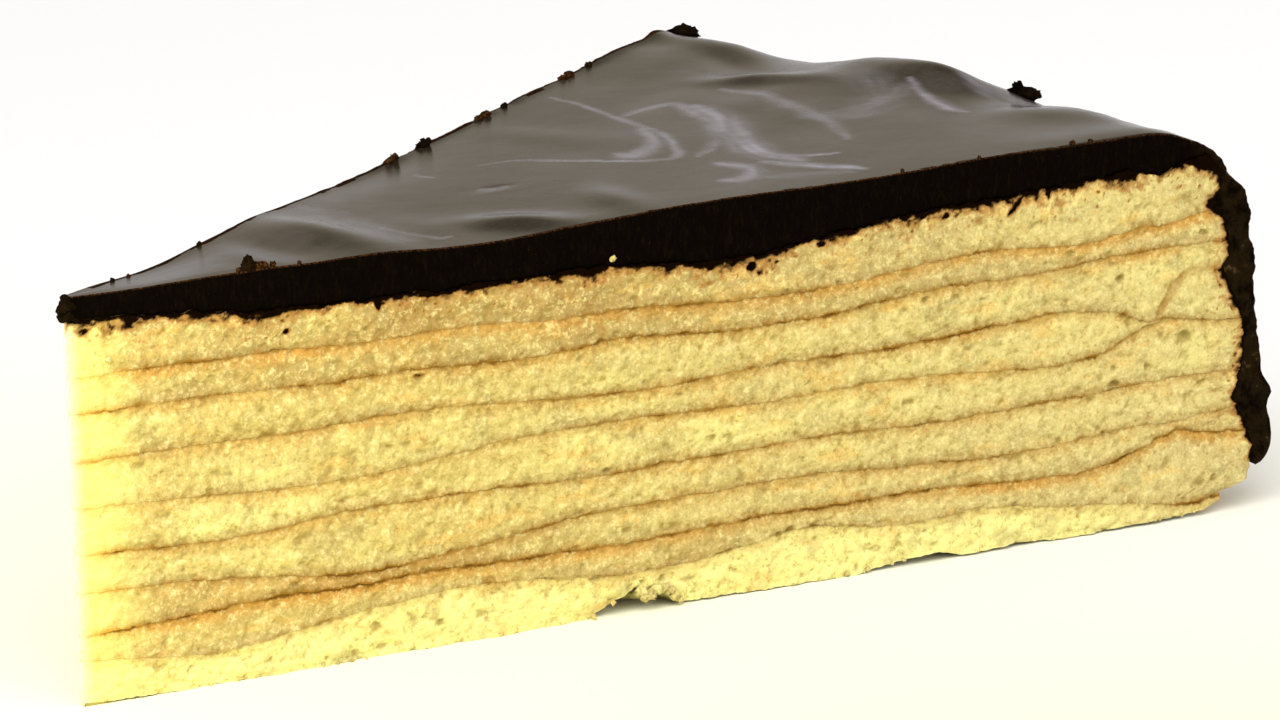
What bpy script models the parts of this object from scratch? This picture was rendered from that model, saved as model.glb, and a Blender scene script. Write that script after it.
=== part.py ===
"""A slice of tree cake: thin sponge layers baked one on another, under a thick dark glaze.

The slice points to -X and its rim stands at +X. The cut at -Y is the one that shows best.
Points are worked out in the cake's own polar frame, in millimetres, and placed in metres.
"""

import math

import bmesh
import bpy
from mathutils import Vector

MM = 0.001

# The cake: a 26 cm round one, cut into ten
CAKE_RADIUS = 131.0
HALF_ANGLE = math.radians(18.0)
APEX_X = -68.6
TIP_BLUNT = 1.2
NODE_GAP = 0.3

# The grid that every solid is drawn on: rings out from the tip, and steps across the slice
OPEN_RINGS = 25
OPEN_REACH = 107.0
RIM_RINGS = 8
SPONGE_STEPS = 5
GLAZE_STEPS = 10

# Browned skins between the sponge layers, from the lowest up, as they show at the near cut.
# Each has its height at the tip, its height at the rim, and its swells: (where, reach, height).
SKINS = (
    (5.0, 3.0, ((14, 10, -1.5), (42, 12, 1.6), (80, 9, 2.5), (101, 8, 1.7), (128, 6, -2.4))),
    (7.1, 9.0, ((19, 10, 0.7), (36, 7, 0.4), (60, 6, -0.5), (110, 12, -1.4), (124, 4, 1.4))),
    (11.5, 13.2, ((17, 5, -0.4), (34, 15, -2.6), (72, 14, -0.7), (104, 16, -2.5), (124, 4, -1.0))),
    (15.5, 15.9, ((15, 9, -0.8), (36, 6, 0.4), (57, 9, -0.5), (98, 12, -0.6), (123, 5, 0.2))),
    (20.4, 23.0, ((28, 19, -2.1), (76, 15, -1.7), (106, 15, -2.7), (116, 4, -1.0))),
    (24.7, 21.4, ((10, 8, 0.4), (40, 14, 0.9), (80, 14, 1.4), (108, 14, 3.2))),
    (29.6, 30.4, ((28, 8, -0.7), (46, 8, -1.2), (77, 16, -2.0), (106, 6, -0.8))),
    (33.2, 33.9, ((36, 12, -0.5), (51, 5, -0.6), (78, 21, -2.4), (114, 9, -1.7))),
    (39.1, 40.0, ((20, 10, -1.4), (41, 16, -2.5), (73, 17, -3.7), (104, 14, -1.3), (122, 5, -0.8))),
)
LAYERS = len(SKINS)

# Towards the far cut the swells drift outwards and fade, and slow waves of their own come in
SWELL_DRIFT = 9.0
SWELL_FADE = 0.5
FAR_WAVE = 0.5
FAR_WAVE_LENGTH = 47.0
FAR_WAVE_STEP = 0.13

# Two layers run out before the rim: the sixth between its neighbours, the lowest into the base
PINCHED_LAYER = 6
PINCHED_END = 122.0
BOTTOM_LAYER_END = 128.0

# The sponge's rim: it leans out towards the base, with bulges (height, reach, depth)
RIM_TOP = 129.6
RIM_LEAN = 3.9
RIM_HEIGHT = 39.0
RIM_BULGES = ((34.3, 1.5, -1.4), (21.0, 3.0, 1.6), (6.5, 3.0, 1.3), (0.0, 1.6, -2.4))
RIM_ROUND_FROM = 37.0
RIM_ROUND = 0.3
RIM_BLEND_FROM = 112.0

# The chip out of the near lower edge, and the shallow hollow beside it (where, reach, height)
BASE_CHIPS = ((61.5, 4.0, 2.4), (92.0, 6.0, 0.8))

# Relief of the cut faces
CUT_RELIEF = 0.35
EDGE_SET_BACK = 0.2
CROWN = 0.1
RELIEF_FROM = 25.0

# Top of the glaze: heights at the tip and the rim, with swells, along each of the two cuts
GLAZE_NEAR = (41.4, 42.6, ((45, 12, -0.8), (68, 10, 0.2), (104, 12, 0.5)))
GLAZE_FAR = (41.4, 42.5, ((26, 18, -0.8), (64, 20, -1.2), (98, 16, -0.7)))
# Waves along the rim of the glaze: (angle in degrees, reach in degrees, height)
GLAZE_RIM_WAVES = ((-10.0, 6.0, -0.3), (2.5, 3.5, 1.1), (10.0, 3.5, -1.3), (18.0, 3.0, 1.4))
RIM_WAVE_REACH = 22.0

# The glaze's rounded shoulder, and its coat down the rim
SHOULDER_FROM = 121.0
SHOULDER_FOOT = 33.4
SHOULDER_POWER = 1.7
SHOULDER_TURNS = (8.0, 22.0, 36.0, 52.0, 72.0, 90.0)
COAT_TOP = 133.2
COAT_LEAN = 3.0
COAT_BULGE = (11.0, 4.0, 0.9)
COAT_UNEVEN = 0.45
COAT_END_DRIP = 1.3


def bell(value, where, reach):
    """A smooth swell of height 1 at one place, fading out over its reach."""
    return math.exp(-(((value - where) / reach) ** 2))


def swelled_line(line, along):
    """Height of a line with swells, at a distance from the tip."""
    start, end, swells = line
    height = start + (end - start) * along / CAKE_RADIUS
    return height + sum(rise * bell(along, where, reach) for where, reach, rise in swells)


def ease(value, low, high):
    """0 below low, 1 above high, and a smooth step between them."""
    part = min(max((value - low) / (high - low), 0.0), 1.0)
    return part * part * (3.0 - 2.0 * part)


def inland(ring):
    """1 midway between the tip and the rim, 0 at both."""
    return math.sin(math.pi * ring / CAKE_RADIUS)


def skin_height(number, ring, across):
    """Height of a browned skin; 0 is the base and the last is the sponge's top. across is 0 to 1."""
    if number == 0:
        return 0.0
    near = swelled_line(SKINS[number - 1], ring)
    start, end, _ = SKINS[number - 1]
    plain = start + (end - start) * ring / CAKE_RADIUS
    fade = SWELL_FADE * across * inland(ring)
    wave_turns = ring / FAR_WAVE_LENGTH + number * FAR_WAVE_STEP
    wave = FAR_WAVE * across * inland(ring) * math.sin(2.0 * math.pi * wave_turns)
    height = near + (plain - near) * fade + wave
    if number == PINCHED_LAYER - 1:
        height = min(height, skin_height(PINCHED_LAYER, ring, across))
    return height


def rim_radius(height):
    """Outer radius of the sponge at a height."""
    lean = RIM_TOP + RIM_LEAN * (1.0 - height / RIM_HEIGHT)
    bulges = sum(depth * bell(height, where, reach) for where, reach, depth in RIM_BULGES)
    rounding = RIM_ROUND * max(height - RIM_ROUND_FROM, 0.0) ** 2
    return lean + bulges - rounding


def coat_radius(height, angle):
    """Outer radius of the glaze on the rim."""
    where, reach, depth = COAT_BULGE
    lean = COAT_TOP + COAT_LEAN * (1.0 - height / SHOULDER_FOOT)
    uneven = COAT_UNEVEN * math.sin(23.0 * (angle + HALF_ANGLE) + 0.3 * height)
    return lean + depth * bell(height, where, reach) + uneven


def glaze_height(ring, angle):
    """Height of the glaze's upper surface, before its shoulder turns down."""
    across = (angle + HALF_ANGLE) / (2.0 * HALF_ANGLE)
    near = swelled_line(GLAZE_NEAR, ring)
    far = swelled_line(GLAZE_FAR, ring)
    degrees = math.degrees(angle)
    waves = sum(rise * bell(degrees, where, reach) for where, reach, rise in GLAZE_RIM_WAVES)
    return near + (far - near) * across + waves * bell(ring, CAKE_RADIUS, RIM_WAVE_REACH)


def rings():
    """Distances from the tip at which the grid has a ring."""
    open_step = (OPEN_REACH - TIP_BLUNT) / OPEN_RINGS
    rim_step = (CAKE_RADIUS - OPEN_REACH) / RIM_RINGS
    inner = [TIP_BLUNT + open_step * index for index in range(OPEN_RINGS)]
    return inner + [OPEN_REACH + rim_step * index for index in range(RIM_RINGS + 1)]


def angle_of(step, steps):
    return HALF_ANGLE * (2.0 * step / steps - 1.0)


def sponge_radius(ring, across, height):
    """Radius of a grid point of the sponge: drifted outwards inland, and fitted to the rim."""
    drifted = ring + SWELL_DRIFT * across * inland(ring)
    rim_shift = rim_radius(height) - CAKE_RADIUS
    return drifted + rim_shift * ease(ring, RIM_BLEND_FROM, CAKE_RADIUS)


def place(radius, angle, height, push=0.0):
    """A point in metres; push moves it out of the cut face that it lies on."""
    side = math.copysign(1.0, angle)
    x = APEX_X + radius * math.cos(angle) - push * math.sin(HALF_ANGLE)
    y = radius * math.sin(angle) + push * side * math.cos(HALF_ANGLE)
    return Vector((x, y, height)) * MM


def relief(radius, height, angle):
    """How far a cut face stands out or in at a point."""
    side_turn = 0.0 if angle < 0.0 else 0.37
    slow = math.sin(2.0 * math.pi * (radius / 19.0 + height / 13.0 + side_turn))
    quick = math.sin(2.0 * math.pi * (radius / 8.5 - height / 17.0 + side_turn))
    return CUT_RELIEF * (0.6 * slow + 0.4 * quick) * ease(radius, TIP_BLUNT, RELIEF_FROM)


def on_cut(step, steps):
    return step in (0, steps)


def sponge_point(ring, step, height, edge):
    """A point of the sponge; edge is the push at a cut face, besides its relief."""
    angle = angle_of(step, SPONGE_STEPS)
    radius = sponge_radius(ring, step / SPONGE_STEPS, height)
    push = 0.0
    if on_cut(step, SPONGE_STEPS):
        push = relief(radius, height, angle) + edge * ease(radius, TIP_BLUNT, RELIEF_FROM)
    return place(radius, angle, height, push)


def base_height(ring, step):
    """Height of the underside, raised where the near lower edge is chipped."""
    if step > 0:
        return 0.0
    return sum(rise * bell(ring, where, reach) for where, reach, rise in BASE_CHIPS)


def border(rows, columns):
    """Grid places around the edge of a grid, in order."""
    near = [(row, 0) for row in range(rows)]
    rim = [(rows - 1, column) for column in range(1, columns)]
    far = [(row, columns - 1) for row in range(rows - 2, -1, -1)]
    tip = [(0, column) for column in range(columns - 2, 0, -1)]
    return near + rim + far + tip


def closed_solid(name, lower, middle, upper, color, roughness):
    """A slab between two grids of points, with the middle points bending its side walls."""
    rows = len(lower)
    columns = len(lower[0])
    mesh = bmesh.new()
    low = [[mesh.verts.new(point) for point in row] for row in lower]
    high = [[mesh.verts.new(point) for point in row] for row in upper]
    for row in range(rows - 1):
        for column in range(columns - 1):
            for grid in (low, high):
                first = grid[row][column]
                last = grid[row + 1][column + 1]
                mesh.faces.new((first, grid[row + 1][column], last))
                mesh.faces.new((first, last, grid[row][column + 1]))
    edge = border(rows, columns)
    belt = [mesh.verts.new(middle[row][column]) for row, column in edge]
    for index, (row, column) in enumerate(edge):
        after = (index + 1) % len(edge)
        next_row, next_column = edge[after]
        for wall in (low, high):
            mesh.faces.new((wall[row][column], wall[next_row][next_column], belt[after]))
            mesh.faces.new((wall[row][column], belt[after], belt[index]))
    bmesh.ops.recalc_face_normals(mesh, faces=mesh.faces)
    data = bpy.data.meshes.new(name)
    mesh.to_mesh(data)
    mesh.free()
    data.shade_smooth()
    data.set_sharp_from_angle(angle=math.radians(50.0))
    data.materials.append(food_material(name, color, roughness))
    solid = bpy.data.objects.new(name, data)
    bpy.context.collection.objects.link(solid)
    return solid


def food_material(name, color, roughness):
    material = bpy.data.materials.new(name)
    material.use_nodes = True
    shader = material.node_tree.nodes["Principled BSDF"]
    shader.inputs["Base Color"].default_value = (*color, 1.0)
    shader.inputs["Roughness"].default_value = roughness
    shader.inputs["Metallic"].default_value = 0.0
    return material


def sponge_layer(number):
    """One baked layer of sponge, between the skins below and above it."""
    reach = {PINCHED_LAYER: PINCHED_END, 1: BOTTOM_LAYER_END}.get(number, CAKE_RADIUS)
    grids = ([], [], [])
    for ring in rings():
        if ring > reach + 0.1:
            break
        rows = ([], [], [])
        for step in range(SPONGE_STEPS + 1):
            across = step / SPONGE_STEPS
            below = skin_height(number - 1, ring, across) + NODE_GAP / 2.0
            if number == 1:
                below = base_height(ring, step)
            above = skin_height(number, ring, across) - NODE_GAP / 2.0
            rows[0].append(sponge_point(ring, step, below, -EDGE_SET_BACK))
            rows[1].append(sponge_point(ring, step, (below + above) / 2.0, CROWN))
            rows[2].append(sponge_point(ring, step, above, -EDGE_SET_BACK))
        for grid, row in zip(grids, rows):
            grid.append(row)
    return closed_solid(f"sponge_layer_{number}", *grids, color=(0.83, 0.66, 0.30), roughness=0.85)


def shoulder_point(angle, turn):
    """A point (radius, height) of the shoulder, turned from level (0) to upright (90 degrees)."""
    top = glaze_height(SHOULDER_FROM, angle)
    power = 2.0 / SHOULDER_POWER
    out = math.sin(math.radians(turn)) ** power
    up = math.cos(math.radians(turn)) ** power
    radius = SHOULDER_FROM + (coat_radius(SHOULDER_FOOT, angle) - SHOULDER_FROM) * out
    return radius, SHOULDER_FOOT + (top - SHOULDER_FOOT) * up


def rim_heights():
    """Heights down the rim at which the coat has a row: each layer's middle, and each skin."""
    heights = []
    top = skin_height(LAYERS, CAKE_RADIUS, 0.0)
    for number in range(LAYERS - 1, 0, -1):
        if number == PINCHED_LAYER:
            continue
        skin = skin_height(number, CAKE_RADIUS, 0.0)
        heights += [(top + skin) / 2.0, skin]
        top = skin
    return heights[:-1]


def glaze_rows():
    """Paired inner and outer rows of (radius, height), from the tip out and down the rim."""
    heights = rim_heights()
    turned = rings()[-4:] + heights[:2]
    rows = []
    for ring in rings()[:-4]:
        rows.append(("top", ring, None))
    for place_there, turn in zip(turned, SHOULDER_TURNS):
        rows.append(("shoulder", place_there, turn))
    for height in heights[2:]:
        rows.append(("coat", height, None))
    return rows


def glaze_pair(kind, where, turn, angle):
    """Inner and outer (radius, height) of the glaze at one row and angle."""
    across = (angle + HALF_ANGLE) / (2.0 * HALF_ANGLE)
    if kind == "coat" or (kind == "shoulder" and turn > SHOULDER_TURNS[3]):
        inner = (rim_radius(where) + NODE_GAP, where)
    else:
        skin = skin_height(LAYERS, where, across)
        inner = (sponge_radius(where, across, skin), skin + NODE_GAP / 2.0)
    if kind == "top":
        outer = (inner[0], glaze_height(where, angle))
    elif kind == "shoulder":
        outer = shoulder_point(angle, turn)
    else:
        outer = (coat_radius(where, angle), where)
    return inner, outer


def chocolate_glaze():
    """The glaze over the top, round the shoulder and down the rim, in one piece."""
    grids = ([], [], [])
    plan = glaze_rows()
    for index, (kind, where, turn) in enumerate(plan):
        rows = ([], [], [])
        for step in range(GLAZE_STEPS + 1):
            angle = angle_of(step, GLAZE_STEPS)
            inner, outer = glaze_pair(kind, where, turn, angle)
            if index == len(plan) - 1:
                drip = COAT_END_DRIP * math.sin(17.0 * (angle + HALF_ANGLE))
                outer = (outer[0] - 0.6, outer[1] + 0.5 - drip)
            middle = [(a + b) / 2.0 for a, b in zip(inner, outer)]
            for row, (radius, height) in zip(rows, (inner, middle, outer)):
                push = relief(radius, height, angle) if on_cut(step, GLAZE_STEPS) else 0.0
                row.append(place(radius, angle, height, push))
        for grid, row in zip(grids, rows):
            grid.append(row)
    return closed_solid("chocolate_glaze", *grids, color=(0.035, 0.016, 0.010), roughness=0.3)


def main():
    for leftover in list(bpy.data.objects):
        bpy.data.objects.remove(leftover)
    cake = bpy.data.objects.new("cake_slice", None)
    bpy.context.collection.objects.link(cake)
    for number in range(1, LAYERS + 1):
        sponge_layer(number).parent = cake
    chocolate_glaze().parent = cake


main()
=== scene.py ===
"""Looks of the slice of tree cake: crumb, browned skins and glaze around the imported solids.

Lengths in the named values are millimetres and angles degrees, unless a name says otherwise.
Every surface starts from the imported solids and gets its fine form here.
"""

import math

import bpy
import numpy as np
from mathutils import Matrix, Vector
from mathutils.bvhtree import BVHTree


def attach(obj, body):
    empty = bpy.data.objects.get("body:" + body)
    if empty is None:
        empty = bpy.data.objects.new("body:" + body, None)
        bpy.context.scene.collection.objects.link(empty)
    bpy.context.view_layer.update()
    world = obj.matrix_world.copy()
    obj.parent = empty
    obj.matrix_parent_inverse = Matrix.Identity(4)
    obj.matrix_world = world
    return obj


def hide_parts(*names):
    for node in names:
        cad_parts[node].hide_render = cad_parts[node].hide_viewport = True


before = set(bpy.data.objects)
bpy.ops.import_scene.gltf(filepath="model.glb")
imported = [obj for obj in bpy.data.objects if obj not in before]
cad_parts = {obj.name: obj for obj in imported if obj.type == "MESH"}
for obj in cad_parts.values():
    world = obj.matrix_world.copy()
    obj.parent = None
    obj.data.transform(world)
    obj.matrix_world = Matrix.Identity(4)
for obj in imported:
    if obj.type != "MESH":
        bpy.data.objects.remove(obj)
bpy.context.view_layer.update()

MM = 0.001

# The slice's own polar frame: where the two cuts meet, and half the angle between them
APEX_X = -68.6
HALF_ANGLE = math.radians(18.0)
NEAR, FAR = -1.0, 1.0
LAYERS = 9
# Radii of the sponge: its blunt tip, where the rounding of the tip ends, where the cut faces start to
# follow the rim's own line, and the rim
TIP = 1.3
TIP_ROUND = 6.0
RIM_BLEND_FROM = 122.0
CAKE_RADIUS = 131.0
# How far each layer swells out at the tip
TIP_SWELL = 0.55

# Fineness of the meshes
CUT_STEP = 0.19
RIM_COLUMNS = 60
PATH_STEPS = 8

# Camera: the photograph's viewing angle
CAMERA_AZIMUTH = -43.99
CAMERA_ELEVATION = 16.0
CAMERA_ROLL = -0.86
CAMERA_DISTANCE = 576.0
CAMERA_TARGET = (5.4, -3.1, 20.3)
FOCAL_LENGTH = 154.7


# Repeatable noise over arrays of places


def scattered(column, row, seed):
    """Random numbers from 0 to 1, one for each whole-number place."""
    mixed = column.astype(np.int64) * 374761393 + row.astype(np.int64) * 668265263
    mixed = (mixed + seed * 974634777) & 0xFFFFFFFF
    mixed = ((mixed ^ (mixed >> 13)) * 1274126177) & 0xFFFFFFFF
    mixed = ((mixed ^ (mixed >> 16)) * 2246822519) & 0xFFFFFFFF
    return ((mixed ^ (mixed >> 15)) & 0xFFFFFF) / float(0x1000000)


def soft_noise(x, y, seed):
    """Smooth noise from -1 to 1 with a wavelength of about 2."""
    x, y = np.broadcast_arrays(np.asarray(x, float), np.asarray(y, float))
    column, row = np.floor(x), np.floor(y)
    u, v = x - column, y - row
    u, v = u * u * (3.0 - 2.0 * u), v * v * (3.0 - 2.0 * v)
    low = scattered(column, row, seed) * (1.0 - u) + scattered(column + 1, row, seed) * u
    high = scattered(column, row + 1, seed) * (1.0 - u) + scattered(column + 1, row + 1, seed) * u
    return 2.0 * (low * (1.0 - v) + high * v) - 1.0


def rough_noise(x, y, seed, octaves=4, keep=0.55):
    """Several octaves of smooth noise, from about -1 to 1."""
    total, size, weight = 0.0, 1.0, 0.0
    for octave in range(octaves):
        scale = 2.03 ** octave
        total = total + size * soft_noise(x * scale, y * scale, seed + 17 * octave)
        weight += size
        size *= keep
    return total / weight * 1.6


def grains(x, y, seed):
    """Distance to the nearest of a scatter of grains, one for each unit square."""
    x, y = np.broadcast_arrays(np.asarray(x, float), np.asarray(y, float))
    column, row = np.floor(x), np.floor(y)
    nearest = np.full(x.shape, 9.0)
    for side in (-1, 0, 1):
        for up in (-1, 0, 1):
            place_x = column + side + scattered(column + side, row + up, seed)
            place_y = row + up + scattered(column + side, row + up, seed + 5)
            nearest = np.minimum(nearest, np.hypot(x - place_x, y - place_y))
    return nearest


def ease(value, low, high):
    """0 below low, 1 above high, and a smooth step between them."""
    part = np.clip((np.asarray(value, float) - low) / (high - low), 0.0, 1.0)
    return part * part * (3.0 - 2.0 * part)


def bell(distance, reach):
    """1 at no distance, fading to almost nothing at twice the reach."""
    return np.exp(-((distance / reach) ** 2))


def swelled(values, place, swells):
    """Values with a soft rise at each swell; a swell is its place, its reach and its rise."""
    for centre, reach, rise in swells:
        values = values + rise * bell(place - centre, reach)
    return values


def crowded(count, amount):
    """Steps from 0 to 1, closer together at both ends, or in the middle if the amount is below 0."""
    part = np.linspace(0.0, 1.0, count + 1)
    return part - amount * np.sin(2.0 * np.pi * part) / (2.0 * np.pi)


def smoothed(values, reach):
    """A row of numbers blurred along its last axis, with its ends held."""
    spread = np.arange(-3 * reach, 3 * reach + 1)
    weights = np.exp(-0.5 * (spread / reach) ** 2)
    weights /= weights.sum()
    padded = np.concatenate([
        2 * values[..., :1] - values[..., 3 * reach:0:-1],
        values,
        2 * values[..., -1:] - values[..., -2:-3 * reach - 2:-1],
    ], axis=-1)
    return np.apply_along_axis(lambda line: np.convolve(line, weights, "valid"), -1, padded)


def curve_between(before, start, end, after, part):
    """A smooth curve from start to end, led by its neighbours on both sides; part runs from 0 to 1."""
    curve = 2 * start + (end - before) * part
    curve = curve + (2 * before - 5 * start + 4 * end - after) * part ** 2
    curve = curve + (3 * start - before - 3 * end + after) * part ** 3
    return curve / 2.0


def smooth_path(points):
    """A smooth curve through a few points."""
    line = np.array(points, float)
    line = np.vstack([2 * line[0] - line[1], line, 2 * line[-1] - line[-2]])
    part = np.linspace(0.0, 1.0, PATH_STEPS, endpoint=False)[:, None]
    spans = zip(line[:-3], line[1:-2], line[2:-1], line[3:])
    return np.vstack([curve_between(*span, part) for span in spans] + [line[-2:-1]])


def stroke_field(x, y, strokes, bristle=0.0):
    """How strongly a set of tapered strokes marks each place; a stroke is width, strength, points.

    A bristle width gives the strokes fine lines that run along them.
    """
    amount = np.zeros(np.shape(x))
    for width, strength, points in strokes:
        curve = smooth_path(points)
        run = 0.0
        for count, (start, end) in enumerate(zip(curve[:-1], curve[1:])):
            along = end - start
            length = float(np.hypot(*along))
            part = (x - start[0]) * along[0] + (y - start[1]) * along[1]
            part = np.clip(part / length ** 2, 0.0, 1.0)
            off_x, off_y = x - start[0] - part * along[0], y - start[1] - part * along[1]
            gap = np.hypot(off_x, off_y)
            place = (count + 0.5) / (len(curve) - 1)
            taper = 0.35 + 0.65 * math.sin(math.pi * place) ** 0.6
            mark = strength * bell(gap, width * taper)
            if bristle:
                across = (off_x * along[1] - off_y * along[0]) / length
                lines = soft_noise(across / bristle + 9.0 * width, (run + part * length) / 5.0, 340)
                mark = mark * (0.72 + 0.45 * lines)
            amount = np.maximum(amount, mark)
            run += length
    return amount


# Places and directions


def flat_place(radius, angle):
    """Where a radius and an angle of the slice's own frame lie on the ground."""
    return APEX_X + radius * math.cos(angle), radius * math.sin(angle)


def placed(radius, angle, height):
    """Points from their radius, angle and height in the slice's own frame."""
    return np.stack([APEX_X + radius * np.cos(angle), radius * np.sin(angle), height], axis=-1)


def polar(points):
    """Radius, angle and height of points in the slice's own frame."""
    x, y, height = np.moveaxis(points, -1, 0)
    return np.hypot(x - APEX_X, y), np.arctan2(y, x - APEX_X), height


def angles_across(count):
    """Angles from the near cut to the far one."""
    return np.linspace(-HALF_ANGLE, HALF_ANGLE, count)


def cut_normal(side):
    """Direction out of a cut face."""
    return np.array([-math.sin(HALF_ANGLE), side * math.cos(HALF_ANGLE), 0.0])


def tree_over(pieces):
    """One search tree over the surfaces of several objects, in millimetres."""
    points, faces = [], []
    for piece in pieces:
        first = len(points)
        points += [vertex.co / MM for vertex in piece.data.vertices]
        faces += [[first + index for index in face.vertices] for face in piece.data.polygons]
    return BVHTree.FromPolygons(points, faces)


def top_of(tree, x, y):
    """Height at which a surface is met from straight above."""
    return tree.ray_cast(Vector((x, y, 60.0)), Vector((0, 0, -1)))[0].z


def line_at(line, place):
    """A broken line's value at places along it."""
    places, values = np.array(line).T
    return np.interp(place, places, values)


def fill_gaps(values):
    """Missing numbers of a row taken from their neighbours."""
    known = np.isfinite(values)
    places = np.arange(len(values))
    return np.interp(places, places[known], values[known])


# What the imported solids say

SPONGE_SOLIDS = [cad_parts[f"sponge_layer_{number}"] for number in range(1, LAYERS + 1)]
GLAZE_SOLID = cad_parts["chocolate_glaze"]
SPONGE_TREES = [tree_over([solid]) for solid in SPONGE_SOLIDS]
SPONGE_TREE = tree_over(SPONGE_SOLIDS)
GLAZE_TREE = tree_over([GLAZE_SOLID])
WHOLE_TREE = tree_over([*SPONGE_SOLIDS, GLAZE_SOLID])

# Where the solids' heights are read along a cut, and how far inside it
READ_RADII = np.arange(TIP + 0.2, 135.0, 1.0)
CUT_INSET = 1.3


def inset_angle(side, radius):
    """Angle of a line just inside a cut face."""
    return side * (HALF_ANGLE - min(CUT_INSET / max(radius, 0.1), 0.8 * HALF_ANGLE))


def kept_inside(angle, radius):
    """An angle, moved to just inside a cut face if it is nearer to it."""
    return math.copysign(min(abs(angle), inset_angle(1.0, radius)), angle)


def read_skins(side):
    """Heights of the ten skins, base and sponge top included, along READ_RADII just inside a cut."""
    tops = np.full((LAYERS, len(READ_RADII)), np.nan)
    bottoms = tops.copy()
    for layer, tree in enumerate(SPONGE_TREES):
        for index, radius in enumerate(READ_RADII):
            x, y = flat_place(radius, inset_angle(side, radius))
            up = tree.ray_cast(Vector((x, y, -9.0)), Vector((0, 0, 1)))[0]
            if up is not None:
                bottoms[layer, index] = up.z
                tops[layer, index] = top_of(tree, x, y)
    skins = [np.zeros(len(READ_RADII))]
    for layer in range(LAYERS):
        above = bottoms[layer + 1] if layer + 1 < LAYERS else tops[layer]
        pair = np.stack([tops[layer], above])
        known = np.isfinite(pair).any(axis=0)
        height = np.full(len(READ_RADII), np.nan)
        height[known] = np.nanmean(pair[:, known], axis=0)
        skins.append(smoothed(fill_gaps(height), 2))
    return np.array(skins)


def read_cut_relief(side):
    """How far the cut face of the solids stands out, over radius and height."""
    normal = Vector(cut_normal(side))
    radii, heights = np.arange(1.0, 136.0, 2.0), np.arange(0.5, 43.0, 1.0)
    stand = np.full((len(heights), len(radii)), np.nan)
    for column, radius in enumerate(radii):
        for row, height in enumerate(heights):
            x, y = flat_place(radius, side * HALF_ANGLE)
            start = Vector((x, y, height)) + normal * 3.0
            hit = WHOLE_TREE.ray_cast(start, -normal)
            if hit[0] is not None and hit[3] < 4.2:
                stand[row, column] = 3.0 - hit[3]
    stand = np.array([fill_gaps(row) if np.isfinite(row).any() else row * 0.0 for row in stand])
    stand = np.nan_to_num(stand)
    return smoothed(smoothed(stand, 1).T, 1).T, radii, heights


def read_rim():
    """Radius of the sponge's rim over height."""
    heights = np.arange(0.3, 40.2, 0.3)
    radii = np.full(len(heights), np.nan)
    outside, reach = 170.0, 50.0
    for index, height in enumerate(heights):
        for angle in (-0.2, 0.0, 0.2):
            x, y = flat_place(outside, angle)
            inward = Vector((-math.cos(angle), -math.sin(angle), 0.0))
            hit = SPONGE_TREE.ray_cast(Vector((x, y, height)), inward)
            if hit[0] is not None and hit[3] < reach:
                radii[index] = np.fmax(radii[index], outside - hit[3])
    return heights, smoothed(fill_gaps(radii), 1)


def lookup(grid, radii, heights, radius, height):
    """A grid's value at places between its points."""
    u = np.clip((radius - radii[0]) / (radii[1] - radii[0]), 0, len(radii) - 1.001)
    v = np.clip((height - heights[0]) / (heights[1] - heights[0]), 0, len(heights) - 1.001)
    i, j = u.astype(int), v.astype(int)
    u, v = u - i, v - j
    low = grid[j, i] * (1 - u) + grid[j, i + 1] * u
    high = grid[j + 1, i] * (1 - u) + grid[j + 1, i + 1] * u
    return low * (1 - v) + high * v


SKINS = {side: read_skins(side) for side in (NEAR, FAR)}
# The layer that runs out before the rim, and the radius where the skins on both sides of it meet
PINCHED = 6
PINCH_END = 123.0
for skins in SKINS.values():
    joined = 0.5 * (skins[PINCHED - 1] + skins[PINCHED])
    share = ease(READ_RADII, PINCH_END - 7.0, PINCH_END)
    for skin in (PINCHED - 1, PINCHED):
        skins[skin] += share * (joined - skins[skin])
CUT_RELIEF = {side: read_cut_relief(side) for side in (NEAR, FAR)}
RIM_HEIGHTS, RIM_RADII = read_rim()


def side_seed(side):
    """What is added to a seed, so that the two cuts differ."""
    return 0 if side == NEAR else 400


# The lower edge of the near cut, as radius and height: worn tip, broken opening, shallow hollows, corner
LOWER_EDGE = (
    (1.0, 0.4), (4.0, 0.2), (12.0, 0.0), (30.0, 0.0), (55.8, 0.0), (57.3, 0.9), (59.5, 2.0),
    (60.9, 2.7), (61.2, 1.7), (61.7, 1.3), (62.6, 1.5), (63.4, 1.9), (64.3, 1.3), (65.6, 0.25),
    (86.0, 0.0), (92.7, 0.8), (96.0, 1.0), (98.8, 0.2), (105.5, 0.4), (111.0, 0.1), (126.0, 0.4),
    (129.4, 0.8), (131.0, 1.4),
)


def base_lift(radius, side):
    """Height of the slice's lower edge at a cut."""
    seed = side_seed(side) + 90
    crumbly = 0.09 * np.clip(rough_noise(radius / 1.1, 0.5, seed, 4, 0.7) + 0.35, 0.0, 2.0)
    lift = crumbly * (0.35 + 0.5 * (soft_noise(radius / 6.0, 3.5, seed) + 1.0)) * ease(radius, 1.0, 5.0)
    return lift + line_at(LOWER_EDGE, radius) if side == NEAR else lift


# Small rises and dips of the skins at the near cut: radius, reach and rise
SKIN_SWELLS = {
    2: ((88, 14, -0.25), (114, 4, -0.3)),
    3: ((28, 6, -0.5), (50, 16, -0.45), (90, 4, -0.4), (116, 5, -0.4)),
    4: ((36, 4, -0.3), (72, 5, -0.2), (114, 4, -0.25)),
    5: ((110, 6, -0.6), (57, 7, -0.25)),
    6: ((34, 16, 0.3), (104, 5, -0.25), (118, 3, 0.4)),
    7: ((24, 10, -0.15), (52, 6, -0.35), (78, 4, 0.35)),
    8: ((28, 10, -0.25), (54, 8, -0.3)),
    9: ((118.3, 1.3, 0.6), (121.8, 2.0, -0.6)),
}
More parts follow.
